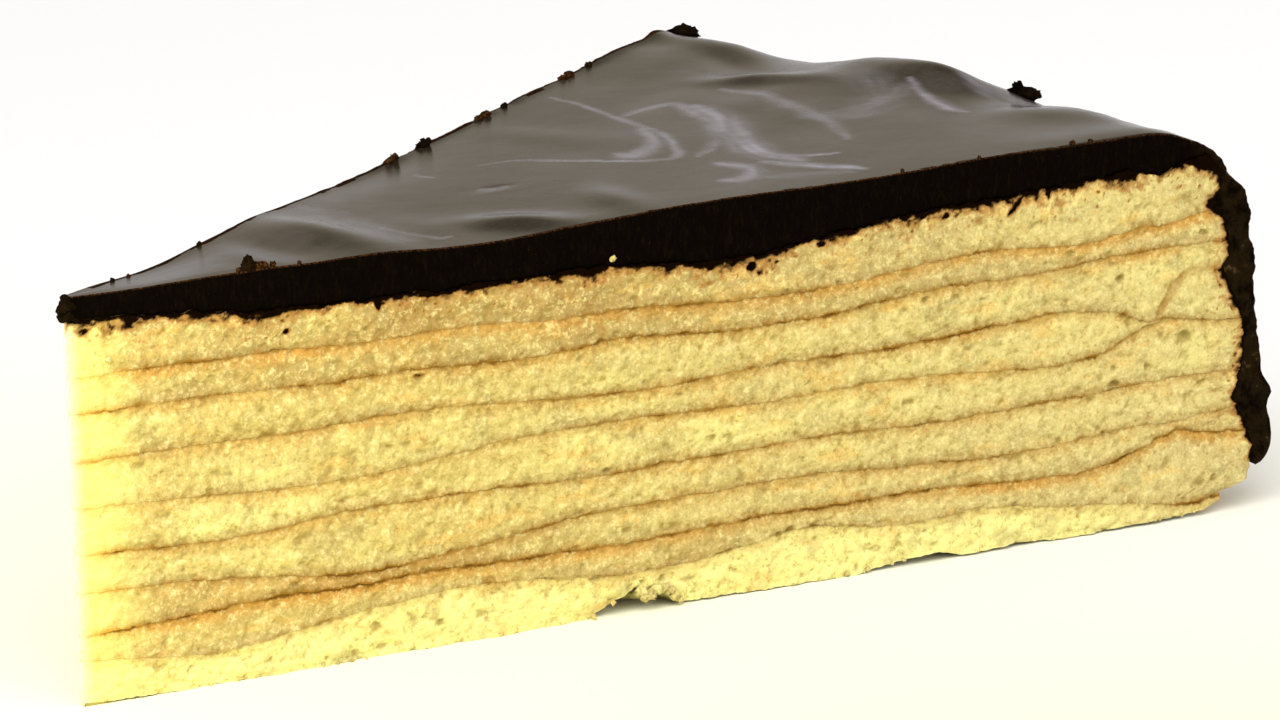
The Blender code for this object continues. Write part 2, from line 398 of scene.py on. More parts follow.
# How the skins run into the coat at the near cut: radius and height
SKIN_ENDS = {
    1: ((122.5, 2.2), (124.8, 1.7), (127.6, 1.6), (130.4, 2.0)),
    2: ((121.5, 9.2), (124.7, 10.2), (129.6, 9.3), (134.0, 8.8)),
    3: ((121.0, 11.1), (126.7, 11.3), (134.0, 11.8)),
    4: ((122.5, 15.8), (127.3, 16.0), (134.0, 15.7)),
    5: ((121.7, 22.3), (123.4, 22.6), (125.9, 22.2), (130.0, 21.5)),
    6: ((121.7, 22.8), (123.0, 22.7), (123.4, 22.6), (125.9, 22.2), (130.0, 21.5)),
    7: ((121.0, 30.4), (131.0, 30.3)),
    8: ((121.6, 32.7), (125.0, 33.2), (128.4, 33.8), (131.0, 34.2)),
    9: ((122.5, 38.2), (124.9, 39.0), (127.3, 39.5), (128.3, 39.8), (131.0, 39.8)),
}


def skin_height(number, radius, side):
    """Height of a skin at a cut, with its fine waver; the last one is ragged under the glaze."""
    height = np.interp(radius, READ_RADII, SKINS[side][number])
    if number == 0:
        return base_lift(radius, side)
    seed = side_seed(side) + 31 * number
    if side == NEAR:
        height = swelled(height, radius, SKIN_SWELLS.get(number, ()))
        height = height + ease(radius, 119.5, 123.0) * (line_at(SKIN_ENDS[number], radius) - height)
    if number == LAYERS:
        ragged = 0.42 * rough_noise(radius / 2.0, 0.5, seed, 5, 0.72)
        drips = 1.3 * np.clip(soft_noise(radius / 1.5, 7.5, seed + 3) - 0.55, 0.0, 1.0)
        return height + (ragged - drips) * ease(radius, 2.0, 14.0) * ease(radius, 129.0, 124.0)
    return height + 0.15 * rough_noise(radius / 2.2, 0.5, seed, 5, 0.72)


def rim_radius(height):
    """Radius of the solids' rim at a height."""
    return np.interp(height, RIM_HEIGHTS, RIM_RADII)


# Where sponge and coat meet at the near cut, from the broken lower corner up: height and radius
COAT_LINE = (
    (0.8, 128.9), (1.5, 130.4), (2.5, 130.3), (3.1, 133.4), (4.3, 134.1), (6.0, 134.1), (7.0, 134.6),
    (8.0, 133.9), (10.3, 133.1), (12.7, 131.8), (15.6, 132.7), (19.0, 133.1), (20.9, 133.1),
    (22.4, 132.5), (25.1, 131.4), (27.2, 130.5), (28.4, 131.2), (32.3, 130.6), (33.4, 129.5),
    (34.4, 128.8), (35.2, 129.4), (36.2, 130.1), (37.7, 129.9), (38.5, 129.5), (39.4, 128.8),
    (39.9, 128.0),
)


def coat_edge(height, side):
    """Radius where sponge and coat meet at a cut, made ragged."""
    ragged = 0.16 * rough_noise(height / 1.0, 0.5, 91 + side_seed(side), 4, 0.7)
    return (line_at(COAT_LINE, height) if side == NEAR else rim_radius(height)) + ragged


# Meshes from grids of points


def new_object(name, points, faces, attributes, material, sharp=180.0):
    """A mesh object from points in millimetres."""
    data = bpy.data.meshes.new(name)
    data.from_pydata((np.asarray(points) * MM).tolist(), [], faces)
    data.validate()
    for title, values in attributes.items():
        layer = data.attributes.new(title, "FLOAT", "POINT")
        layer.data.foreach_set("value", np.asarray(values, np.float32))
    data.shade_smooth()
    if sharp < 180.0:
        data.set_sharp_from_angle(angle=math.radians(sharp))
    data.materials.append(material)
    piece = bpy.data.objects.new(name, data)
    bpy.context.collection.objects.link(piece)
    return piece


def quads(grid, turned=False):
    """The faces of a grid of point numbers."""
    corners = (grid[:-1, :-1], grid[1:, :-1], grid[1:, 1:], grid[:-1, 1:])
    if turned:
        corners = corners[::-1]
    return np.stack([corner.ravel() for corner in corners], axis=1).tolist()


# The crumb of the cut faces


# Larger pores of the near cut: radius, height, size, stretch along the cut
NAMED_PORES = (
    (74.4, 34.4, 0.60, 1.0),
    (125.8, 20.2, 0.72, 1.3),
    (87.5, 28.6, 0.45, 2.6),
    (94.4, 28.5, 0.40, 1.4),
    (97.9, 28.3, 0.40, 1.6),
    (37.3, 28.4, 0.40, 1.8),
    (23.4, 34.9, 0.35, 1.0),
    (127.7, 3.8, 0.60, 1.3),
    (129.5, 4.1, 0.45, 1.0),
    (131.2, 3.9, 0.45, 1.0),
    (61.6, 3.1, 0.35, 1.3),
    (63.9, 3.3, 0.30, 1.0),
    (118.2, 23.6, 0.35, 1.5),
)


def pores(side):
    """Places, sizes and stretches of the open pores on a cut face."""
    draw = np.random.default_rng(7 if side == NEAR else 8)
    count = 170
    radius = 4.0 + 126.0 * draw.random(count) ** 0.8
    height = 1.0 + 37.0 * draw.random(count)
    size = 0.16 + 0.34 * draw.random(count) ** 3
    stretch = 1.0 + 1.4 * draw.random(count)
    drawn = np.stack([radius, height, size, stretch])
    if side == NEAR:
        drawn = np.concatenate([drawn, np.array(NAMED_PORES).T], axis=1)
    return drawn


PORES = {side: pores(side) for side in (NEAR, FAR)}


def pore_depth(radius, height, side):
    """How deep the pores are at each place, in millimetres."""
    depth = np.zeros(radius.shape)
    for place_r, place_z, size, stretch in zip(*PORES[side]):
        across = (radius - place_r) / (size * stretch)
        near_it = np.abs(across) < 1.0
        if not near_it.any():
            continue
        up = (height[near_it] - place_z) / size
        bowl = np.clip(1.0 - across[near_it] ** 2 - up ** 2, 0.0, 1.0)
        depth[near_it] = np.maximum(depth[near_it], 0.9 * size * np.sqrt(bowl))
    return depth


def crumb(radius, height, side):
    """Relief of the crumb on a cut face, outwards, and how deep its pits are from 0 to 1, which marks
    where shade is painted into them.
    """
    seed = side_seed(side)
    warp_r = radius + 0.35 * soft_noise(radius / 1.1, height / 1.1, seed + 1)
    warp_z = height + 0.30 * soft_noise(radius / 1.1, height / 1.1, seed + 2)
    coarse = 0.45 - grains(warp_r / 1.7, warp_z / 1.25, seed + 3) ** 1.6
    fine = 0.45 - grains(warp_r / 0.72, warp_z / 0.60, seed + 4) ** 1.6
    slow = rough_noise(radius / 5.0, height / 3.0, seed + 5, 3)
    quick = rough_noise(radius / 1.2, height / 0.9, seed + 6, 3, 0.7)
    holes = pore_depth(radius, height, side)
    relief = 0.22 * coarse + 0.15 * fine + 0.10 * slow + 0.22 * quick - holes
    # painted shade: low places of the relief and the pores are marked for darkening
    pit_shade = np.clip(0.30 - 0.6 * coarse - 0.35 * fine - 0.6 * quick, 0.0, 1.0)
    return relief, np.clip(pit_shade + 1.8 * holes, 0.0, 1.6)


# Chocolate carried into the near cut: radius, height, reach along, reach up, strength
STAINS = (
    (74.4, 34.6, 0.55, 0.50, 1.0),
    (75.3, 34.0, 0.40, 0.30, 0.9),
    (77.2, 34.8, 0.30, 0.15, 0.8),
    (23.4, 34.9, 0.35, 0.30, 1.0),
    (37.3, 28.4, 0.45, 0.25, 0.7),
    (96.8, 37.1, 0.35, 0.35, 1.0),
    (94.2, 37.5, 0.50, 0.45, 1.0),
    (92.0, 37.6, 0.70, 0.50, 1.0),
    (99.9, 38.0, 1.20, 0.40, 0.95),
    (109.0, 37.9, 0.30, 0.60, 0.95),
    (111.9, 37.4, 0.20, 0.15, 0.8),
    (115.6, 37.0, 0.15, 0.15, 0.7),
    (82.2, 36.0, 0.55, 0.30, 1.0),
    (79.5, 35.1, 0.25, 0.12, 0.7),
    (70.6, 36.2, 0.45, 0.35, 1.0),
    (33.2, 36.6, 0.45, 0.90, 1.0),
    (31.0, 37.0, 0.35, 0.30, 0.9),
    (20.6, 36.6, 0.35, 0.25, 0.8),
    (129.3, 34.4, 1.2, 0.8, 1.0),
)

# Streaks of chocolate and browned folds in the near cut, as width, strength and points
STREAKS = ((0.40, 1.0, ((106.0, 38.2), (105.4, 37.5), (104.9, 37.2), (104.2, 36.5), (104.0, 36.3))),)
FOLDS = (
    (0.60, 1.35, ((122.5, 23.2), (123.3, 24.4), (124.4, 25.8), (125.6, 27.0), (126.6, 27.5))),
    (1.00, 0.75, ((126.2, 27.4), (128.6, 27.4), (131.0, 27.3))),
    (0.45, 0.45, ((125.3, 12.3), (127.2, 13.7), (130.4, 13.8))),
    (0.60, 0.40, ((127.4, 20.9), (129.2, 18.6), (130.0, 16.6))),
    (0.70, 0.45, ((129.8, 10.4), (131.6, 11.6), (132.6, 11.4))),
)
# How far a fold is sunk into the cut face
FOLD_DEPTH = 0.2


def stain(radius, height, to_glaze, side):
    """Chocolate smeared and dragged into the crumb, from 0 to 1."""
    seed = side_seed(side) + 700
    fuzzy = rough_noise(radius / 1.2, height / 0.8, seed, 4, 0.65)
    reach = 1.05 + 0.70 * soft_noise(radius / 3.5, 0.5, seed + 8)
    smear = np.exp(-np.maximum(to_glaze, 0.0) / reach) * 1.2 + 0.42 * fuzzy
    amount = ease(smear, 0.15, 1.15)
    speck = grains(radius / 1.5, height / 1.5, seed + 3)
    rare = rough_noise(radius / 2.6, height / 2.6, seed + 5, 2)
    specks = ease(0.20 * np.exp(-to_glaze / 2.5) * (0.7 + rare) - speck, -0.04, 0.06)
    amount = np.maximum(amount, 0.7 * specks)
    if side == NEAR:
        warp_r, warp_z = radius + 0.16 * fuzzy, height + 0.12 * fuzzy
        for place_r, place_z, along, up, strength in STAINS:
            gap = np.hypot((warp_r - place_r) / along, (warp_z - place_z) / up)
            amount = np.maximum(amount, strength * ease(gap, 1.5, 0.7))
        amount = np.maximum(amount, stroke_field(warp_r, warp_z, STREAKS))
    return amount


# How brown each skin is, how far its tan reaches down, and stretches where the brown is stronger
# or weaker: radius, reach and change
SKIN_LOOKS = {
    1: (0.40, 0.30, ((8, 10, 0.05), (60, 25, 0.1), (112, 14, 0.15), (127, 5, 0.5))),
    2: (0.85, 0.95, ((30, 18, 0.35), (84, 20, 0.15))),
    3: (0.68, 0.38, ((34, 8, 0.4), (100, 14, 0.1))),
    4: (0.72, 0.45, ((50, 10, 0.15), (92, 12, 0.15))),
    5: (0.62, 0.50, ((15, 12, 0.0), (110, 9, 0.15), (64, 14, 0.1))),
    6: (0.75, 0.50, ((60, 12, 0.15), (96, 12, 0.25))),
    7: (0.85, 0.65, ((34, 10, 0.05), (70, 24, 0.15))),
    8: (0.62, 0.85, ((8, 8, 0.15), (70, 20, 0.15))),
    9: (0.0, 0.10, ()),
}


# How pale (towards 1) or tan (towards -1) each layer's crumb is, with stretches that differ
LAYER_TONES = {
    1: (0.95, ((122, 9, -0.40),)),
    2: (-0.30, ()),
    3: (-0.15, ((30, 15, -0.8),)),
    4: (0.10, ()),
    5: (0.30, ()),
    6: (0.25, ()),
    7: (0.10, ((30, 14, -0.35),)),
    8: (-0.75, ((12, 20, 0.5), (112, 20, 0.3))),
    9: (-0.75, ((10, 20, 0.4), (120, 14, 0.7))),
}


def paleness(number, radius, height, side):
    """How pale or tan the crumb is at each place, from -1 to 1."""
    tone, swells = LAYER_TONES[number]
    seed = side_seed(side) + 540 + number
    tone = tone + 0.35 * rough_noise(radius / 7.0, height / 4.0, seed, 3)
    return np.clip(swelled(tone, radius, swells), -1.0, 1.0)


def browning(number, radius, side):
    """Strength of a skin's brown line, and of the tan under it, along a cut."""
    brown, tan, swells = SKIN_LOOKS[number]
    seed = side_seed(side) + 500 + number
    brown = brown + 0.30 * rough_noise(radius / 5.0, 0.5, seed, 3)
    brown = brown + 0.22 * rough_noise(radius / 1.3, 7.5, seed + 40, 2) - 0.1 * ease(radius, 3.0, 0.5)
    tan = tan * (0.75 + 0.6 * soft_noise(radius / 8.0, 3.5, seed))
    return np.clip(swelled(brown, radius, swells), 0.0, 1.2), np.clip(tan, 0.0, 1.0)


def cut_points(radius, height, side, push):
    """Places on a cut face, pushed outwards."""
    stand = lookup(*CUT_RELIEF[side], radius, height)
    out = (stand + push) * (0.2 + 0.8 * ease(radius, 1.0, 9.0))
    normal = cut_normal(side)
    x = APEX_X + radius * math.cos(HALF_ANGLE) + out * normal[0]
    y = side * radius * math.sin(HALF_ANGLE) + out * normal[1]
    return np.stack([x, y, height], axis=-1)


# The least thickness of a layer, and how often its outer edge and its heights are fitted to each other
THINNEST = 0.12
FITTING_PASSES = 3


def layer_face(number, side, reach, rows):
    """One layer's cut face: its points, and the looks of the crumb at each of them."""
    columns = int(round((reach - TIP) / CUT_STEP))
    base_r = np.linspace(TIP, reach, columns + 1)[:, None]
    part = crowded(rows, 0.35)[None, :]
    fullness = TIP_SWELL * (0.45 + 0.85 * np.sin(np.pi * np.clip(part, 0.0, 1.0)) ** 0.7)
    base_r = base_r - fullness * ease(base_r, TIP_ROUND, TIP)
    radius = base_r
    for _ in range(FITTING_PASSES):
        low = skin_height(number - 1, radius, side)
        high = np.maximum(skin_height(number, radius, side), low + THINNEST)
        height = low + (high - low) * part
        if reach >= CAKE_RADIUS:
            shift = coat_edge(height, side) - CAKE_RADIUS
            radius = base_r + shift * ease(base_r, RIM_BLEND_FROM, CAKE_RADIUS)
    to_top, to_bottom = high - height, height - low
    relief, pit_shade = crumb(radius, height, side)
    seed = side_seed(side) + 60 + number
    groove = bell(to_top, 0.35) * (0.02 + 0.08 * rough_noise(radius / 1.6, 0.5, seed, 3))
    brow = bell(to_bottom, 0.5) * 0.12 * rough_noise(radius / 1.3, 3.5, seed + 9, 3)
    if number == LAYERS:
        groove = groove * 0.3
    if number == 1:
        brow = brow * 0.4
    none = np.zeros(radius.shape)
    fold = stroke_field(radius, height, FOLDS) if side == NEAR else none
    points = cut_points(radius, height, side, relief - groove + brow - FOLD_DEPTH * fold)
    brown, tan = browning(number, radius, side)
    below = browning(number - 1, radius, side)[0] if number > 1 else none
    foot = 0.35 + 0.5 * soft_noise(radius / 9.0, 5.5, seed + 20) if number > 1 else none
    to_glaze = np.interp(radius, READ_RADII, SKINS[side][LAYERS]) - height
    to_coat = coat_edge(height, side) - radius + 5.0 * ease(height, 5.6, 4.2)
    to_chocolate = np.minimum(to_glaze, to_coat * 1.3)
    pale = paleness(number, radius, height, side)
    looks = {
        "to_top": to_top,
        "to_bottom": to_bottom,
        "pit_shade": pit_shade,
        "brown": brown,
        "below": below,
        "pale": pale,
        "tan": tan,
        "foot": np.clip(foot, 0.0, 1.0),
        "stain": stain(radius, height, to_chocolate, side),
        "fold": fold,
        # painted light: near the tip the crumb is painted brighter and its skins orange, as if light
        # shone through the thin tip
        "painted_tip_glow": ease(radius, 9.5, 2.0),
        # painted highlight: the very tip is painted near white
        "tip": ease(radius, 2.4, -0.4),
        "cream": ease(radius, 30.0, 115.0) * (1.0 - 0.8 * np.clip(pale, 0.0, 1.0)),
    }
    return points, looks


# How far the sponge's upper edge is worn in along the rim, under the glaze
RIM_SHOULDER = 1.5


def rim_face(near_edge, far_edge, seed):
    """Points across the rim between the two cut faces' last columns."""
    across = np.linspace(0.0, 1.0, RIM_COLUMNS + 1)[1:-1, None]
    ends = zip(polar(near_edge), polar(far_edge))
    radius, angle, height = (start + (end - start) * across for start, end in ends)
    radius = radius + 0.22 * rough_noise(angle * 90.0, height / 0.9, seed, 4, 0.65)
    radius = radius - RIM_SHOULDER * ease(height, 35.5, 39.5) * np.sin(np.pi * across) ** 0.4
    return placed(radius, angle, height)


# Lines of points inside a layer's top and underside: their shares of the way across, and their crust
INSIDE_SHARES = (0.14, 0.5, 0.86)
UNDER_CRUST = (0.25, 0.9, 0.25)


def inside_strips(near_line, far_line, flat):
    """Lines of points between the two cuts' edges, on the ground where they are flat."""
    strips = []
    for share in INSIDE_SHARES:
        line = near_line + (far_line - near_line) * share
        if flat:
            line[:, 2] = 0.0
        strips.append(line)
    return np.stack(strips, axis=1)


# What the crumb's looks are away from the cut faces
PLAIN_LOOKS = {
    "to_top": 2.0, "to_bottom": 2.0, "pit_shade": 0.4, "brown": 0.5, "below": 0.3,
    "pale": -0.2, "tan": 0.5, "foot": 0.3, "stain": 0.0, "fold": 0.0, "painted_tip_glow": 0.0, "tip": 0.0,
    "cream": 0.5,
}


def sponge_layer(number):
    """One layer of sponge as a closed crumbly solid."""
    reach = PINCH_END if number == PINCHED else CAKE_RADIUS
    thick = float(np.mean(SKINS[NEAR][number] - SKINS[NEAR][number - 1]))
    rows = max(int(round(thick / CUT_STEP)), 6)
    near, near_looks = layer_face(number, NEAR, reach, rows)
    far, far_looks = layer_face(number, FAR, reach, rows)
    rim = rim_face(near[-1], far[-1], 200 + number)
    columns = near.shape[0]
    near_ids = np.arange(near[..., 0].size).reshape(columns, rows + 1)
    far_ids = near_ids + near_ids.size
    inner_ids = np.arange(rim[..., 0].size).reshape(rim.shape[:2]) + 2 * near_ids.size
    rim_ids = np.vstack([near_ids[-1], inner_ids, far_ids[-1]])
    faces = quads(near_ids) + quads(far_ids, True) + quads(rim_ids)
    faces += quads(np.stack([far_ids[0], near_ids[0]]))
    grids, start = [near, far, rim], int(rim_ids.max()) + 1
    for row, turned in ((-1, False), (0, True)):
        grids.append(inside_strips(near[:, row], far[:, row], turned and number == 1))
        ids = start + np.arange(columns * len(INSIDE_SHARES)).reshape(columns, -1)
        start += ids.size
        across = np.column_stack([near_ids[:, row], ids, far_ids[:, row]])
        faces += quads(across, not turned)
        outline, tip = rim_ids[:, row].tolist() + ids[-1, ::-1].tolist(), across[0].tolist()
        faces += [outline, tip[::-1]] if turned else [outline[::-1], tip]
    points = np.concatenate([grid.reshape(-1, 3) for grid in grids])
    crust = np.zeros(len(points))
    crust[inner_ids.ravel()] = 1.0
    crust[rim_ids[[0, -1]].ravel()] = 0.5
    crust[rim_ids.max() + 1:] = np.tile(UNDER_CRUST, 2 * columns)
    attributes = {"crust": crust}
    for look, plain in PLAIN_LOOKS.items():
        rest = np.full(len(points) - 2 * near_ids.size, plain)
        attributes[look] = np.concatenate([near_looks[look].ravel(), far_looks[look].ravel(), rest])
    piece = new_object(f"crumb_layer_{number}", points, faces, attributes, sponge_material(number))
    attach(piece, "root")
    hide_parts(f"sponge_layer_{number}")


# The glaze

# The centre of the glaze's shoulder, as radius and height, and how finely the glaze is read and built
TURN_CENTRE = (118.0, 30.0)
TOP_SAMPLES = 80
TURN_SAMPLES = 70
GLAZE_ANGLES = 19
BAND_ROWS = 20
TOP_COLUMNS = 130
UNDER_COLUMNS = 12
TOP_STEP = 0.42
WALL_STEP = 0.32
WALL_LENGTH = 48.0

# Low waves of the set glaze: place, direction in degrees, half length, half width and height
WAVES = (
    (-35.8, 1.0, 88, 8.0, 3.5, 0.94),
    (-42.5, -1.0, 80, 6.0, 2.4, -0.28),
    (-46.0, -1.0, 75, 5.0, 2.2, 0.14),
    (-18.6, -10.6, -54, 5.0, 2.7, 0.64),
    (-26.0, -4.0, 100, 7.0, 3.0, 0.10),
    (-10.5, 1.3, -12, 1.8, 0.8, -0.14),
    (-7.0, -12.0, 70, 5.0, 2.4, 0.34),
    (40.2, 12.9, -54, 5.4, 2.5, 0.66),
    (52.0, -2.9, 95, 5.5, 3.1, 1.38),
    (49.6, -22.6, -61, 9.0, 4.4, 0.34),
    (52.0, -12.0, 80, 8.0, 2.6, -0.22),
    (50.0, 26.0, 60, 9.0, 3.0, 0.48),
    (44.0, 20.0, 75, 9.0, 2.4, -0.20),
    (30.0, 5.0, 95, 10.0, 4.0, 0.12),
    (8.0, 12.0, 110, 9.0, 3.5, 0.14),
)

# How the top's outline swells and sinks round the rim: angle in degrees, reach and rise
RIM_SWELLS = (
    (17.0, 3.0, -0.45), (9.0, 3.6, -0.65), (1.6, 2.0, 0.35), (-6.6, 2.4, -0.70), (-17.0, 2.2, 0.50),
)
# Where the top sinks along the far cut: radius, reach and fall
FAR_DIPS = ((16.0, 9.0, 0.65), (55.0, 11.0, 0.60), (119.0, 5.0, 0.5))
# The raised edge along the far cut: its rise, the width of its matte part, where that part starts, and
# how deep under the surface its brown counts as
FAR_LIP = 0.35
FAR_LIP_WIDTH = 0.80
FAR_LIP_FROM = 5.0
FAR_LIP_DEPTH = 0.14

# Milky strokes that the spatula left in the glaze, their lilac brightness partly a painted reflection:
# width, strength and the way each one runs
STROKES = (
    (0.55, 0.80, ((20, 25.5), (19.4, 18), (17.2, 9.4), (15.9, 4.2), (11.6, -2.9),
                  (8.3, -5.1), (5.2, -2.3), (2.4, 2.6), (-1, 7.6), (-5.2, 9.6))),
    (1.30, 0.70, ((16.1, 7.2), (12.8, 2.3), (9.2, -0.4), (6.7, -0.8), (6.8, 1.0))),
    (0.90, 0.70, ((19.3, 13.2), (24.1, 13.4), (26.5, 12.2), (23.6, 5.8), (20.7, 0.9),
                  (14.8, -4.5), (10.8, -6.6))),
    (2.10, 0.90, ((26.6, 10.0), (25.5, 5.5), (21.5, 0.0), (17.8, -6.5), (15.7, -11.9), (16.3, -15.8))),
    (1.30, 0.80, ((10.3, -10.5), (10.6, -13.3), (8.6, -16.7), (5.9, -17.5), (4.9, -16.4))),
    (1.10, 0.60, ((34.3, 13.4), (34.6, 8.2), (32.8, 1.1), (30.5, -6.5), (26.0, -13.5))),
    (1.10, 1.00, ((13.2, -13.8), (14.0, -15.7), (14.7, -17.6), (16.1, -20.5), (17.7, -24.1))),
    (0.60, 0.75, ((16.0, -8.5), (16.6, -11.5), (17.7, -14.7), (20.6, -17.1))),
    (1.50, 0.35, ((8.8, -18.8), (11.6, -20.6), (15.8, -23.9))),
    (0.70, 0.65, ((47.9, -1.8), (46.4, -4.8), (44.9, -7.8))),
    (1.20, 0.95, ((45.6, -6.4), (43.9, -9.8), (42.9, -12.6), (43.1, -14.8))),
    (0.40, 0.70, ((-11.7, 12.3), (-12.0, 11.0), (-11.6, 9.7))),
    (0.70, 0.50, ((-12.3, 1.7), (-9.4, 1.1))),
    (2.60, 0.50, ((53.0, -6.0), (52.9, -10.9), (52.2, -16.1), (51.5, -20.0))),
    (3.00, 0.30, ((-29.0, 10.1), (-30.5, 1.6), (-31.5, -8.1))),
    (0.50, 0.40, ((-29.7, 3.9), (-29.7, -2.6), (-28.6, -9.0), (-26.5, -10.1))),
    (2.60, 0.42, ((30.5, -3.0), (34.5, -6.0), (40.0, -5.2), (46.5, -2.8))),
    (2.60, 0.30, ((38.0, 18.0), (44.0, 12.0), (46.0, 4.0), (42.0, -3.0))),
)


def turn_hit(tree, angle, turn):
    """Where a surface lies in a direction from the shoulder's centre: radius and height, or None."""
    radius, height = TURN_CENTRE
    reach = 40.0
    out = Vector((math.cos(turn) * math.cos(angle), math.cos(turn) * math.sin(angle), math.sin(turn)))
    x, y = flat_place(radius, angle)
    hit = tree.ray_cast(Vector((x, y, height)) + out * reach, -out)
    if hit[0] is None or hit[3] > reach:
        return None
    length = reach - hit[3]
    return radius + length * math.cos(turn), height + length * math.sin(turn)


def last_turn(angle):
    """The lowest direction in which the coat is still met."""
    turn, step = math.radians(-40.0), math.radians(0.25)
    while turn > math.radians(-64.0):
        hit = turn_hit(GLAZE_TREE, angle, turn - step)
        sponge = turn_hit(SPONGE_TREE, angle, turn - step)
        if hit is None or (sponge is not None and hit[0] < sponge[0] + 0.2):
            break
        turn -= step
    return turn


def glaze_profile(angle):
    """Outer and inner (radius, height) pairs at one angle, from the tip round and down the rim."""
    outer, inner = [], []
    for radius in np.linspace(TIP + 0.1, TURN_CENTRE[0], TOP_SAMPLES, endpoint=False):
        x, y = flat_place(radius, kept_inside(angle, radius))
        outer.append((radius, top_of(GLAZE_TREE, x, y)))
        inner.append((radius, top_of(SPONGE_TREE, x, y) + 0.15))
    inside = kept_inside(angle, 125.0)
    for turn in np.linspace(math.radians(90.0), last_turn(inside), TURN_SAMPLES):
        outer.append(turn_hit(GLAZE_TREE, inside, turn) or outer[-1])
        inner.append(turn_hit(SPONGE_TREE, inside, turn) or inner[-1])
    return outer, inner


def finer(profile, stations):
    """A profile read again at more stations, evenly along its two stretches."""
    reads = np.arange(profile.shape[-2], dtype=float)
    flat = profile.reshape(-1, profile.shape[-2], 2)
    result = [[np.interp(stations, reads, line[:, axis]) for axis in (0, 1)] for line in flat]
    return np.moveaxis(np.array(result), 1, -1)


def across_angles(values, columns):
    """Profiles read at every angle column, with a smooth curve through those that were measured."""
    places = np.linspace(0.0, GLAZE_ANGLES - 1.0, columns)
    first = np.clip(places.astype(int), 0, GLAZE_ANGLES - 2)
    beside = [values[np.clip(first + step, 0, GLAZE_ANGLES - 1)] for step in (-1, 0, 1, 2)]
    return curve_between(*beside, (places - first)[:, None, None])


def outward(profile):
    """Directions across a profile, pointing out of the cake."""
    along = np.gradient(profile, axis=-2)
    along /= np.linalg.norm(along, axis=-1, keepdims=True) + 1e-9
    return np.stack([-along[..., 1], along[..., 0]], axis=-1)


def ripples(x, y):
    """Low waves of the set glaze on top, in millimetres."""
    bend_x = x + 5.0 * soft_noise(x / 22.0, y / 22.0, 301)
    bend_y = y + 5.0 * soft_noise(x / 22.0, y / 22.0, 302)
    wide = soft_noise(bend_x / 16.0, bend_y / 11.0, 303)
    drawn = soft_noise((bend_x + 0.6 * bend_y) / 12.0, (bend_y - 0.6 * bend_x) / 5.0, 304)
    small = rough_noise(x / 3.4, y / 2.8, 305, 3)
    lift = 0.09 * wide + 0.05 * drawn + 0.008 * small
    for place_x, place_y, turn, length, width, height in WAVES:
        turn = math.radians(turn)
        along = (x - place_x) * math.cos(turn) + (y - place_y) * math.sin(turn)
        over = (y - place_y) * math.cos(turn) - (x - place_x) * math.sin(turn)
        over = over + 0.05 * along ** 2 / length
        lift = lift + height * bell(along, length) * bell(over, width)
    return lift


# Width of the fine lines in a stroke
BRISTLE = 0.32


def haze_and_sheen(x, y):
    """How milky the glaze is at each place, from 0 to 1; the strokes' brightness is partly a painted
    reflection.
    """
    wander_x = x + 0.36 * rough_noise(x / 2.4, y / 2.4, 321, 4)
    wander_y = y + 0.36 * rough_noise(x / 2.4, y / 2.4, 322, 4)
    brush = 0.97 + 0.32 * rough_noise(x / 1.6, y / 1.6, 323, 4)
    return stroke_field(wander_x, wander_y, STROKES, BRISTLE) * brush


# Thicker places of the coat where the near cut meets it: height, reach up and how far they stand out
COAT_LUMPS = (
    (40.3, 1.6, 0.35), (34.4, 1.5, 0.75), (32.6, 1.2, 0.5), (28.0, 1.8, 0.35), (21.5, 3.0, 0.35),
    (17.0, 2.5, 0.55), (12.8, 1.6, 0.9), (9.0, 2.4, 1.1), (6.4, 1.2, 1.3),
)
LUMP_LENGTH = 7.0


def wall_relief(angle, height):
    """Runs and lumps of the coat down the rim, in millimetres."""
    along, from_near = angle * 130.0, (angle + HALF_ANGLE) * 130.0
    runs = soft_noise(along / 5.5, height / 22.0, 311)
    lumps = rough_noise(along / 2.6, height / 2.6, 312, 5, 0.6)
    ragged = rough_noise(along / 0.9, height / 0.9, 313, 3, 0.7) * bell(from_near, 1.6)
    thick = swelled(0.0, height, COAT_LUMPS) * bell(from_near, LUMP_LENGTH)
    return 0.28 * runs + 0.24 * lumps + 0.20 * ragged + thick


def glaze_surfaces():
    """Outer and inner profiles at every column of the finished glaze."""
    pairs = np.array([glaze_profile(float(angle)) for angle in angles_across(GLAZE_ANGLES)])
    outer, inner = pairs.swapaxes(0, 1)
    outer = np.swapaxes(smoothed(np.swapaxes(outer, 1, 2), 2), 1, 2)
    top = int(TURN_CENTRE[0] / TOP_STEP)
    wall = int(WALL_LENGTH / WALL_STEP)
    stations = np.concatenate([
        np.linspace(0.0, TOP_SAMPLES, top, endpoint=False),
        np.linspace(TOP_SAMPLES, TOP_SAMPLES + TURN_SAMPLES - 1.0, wall),
    ])
    return (across_angles(finer(outer, stations), TOP_COLUMNS + 1),
            across_angles(finer(inner, stations), UNDER_COLUMNS + 1))


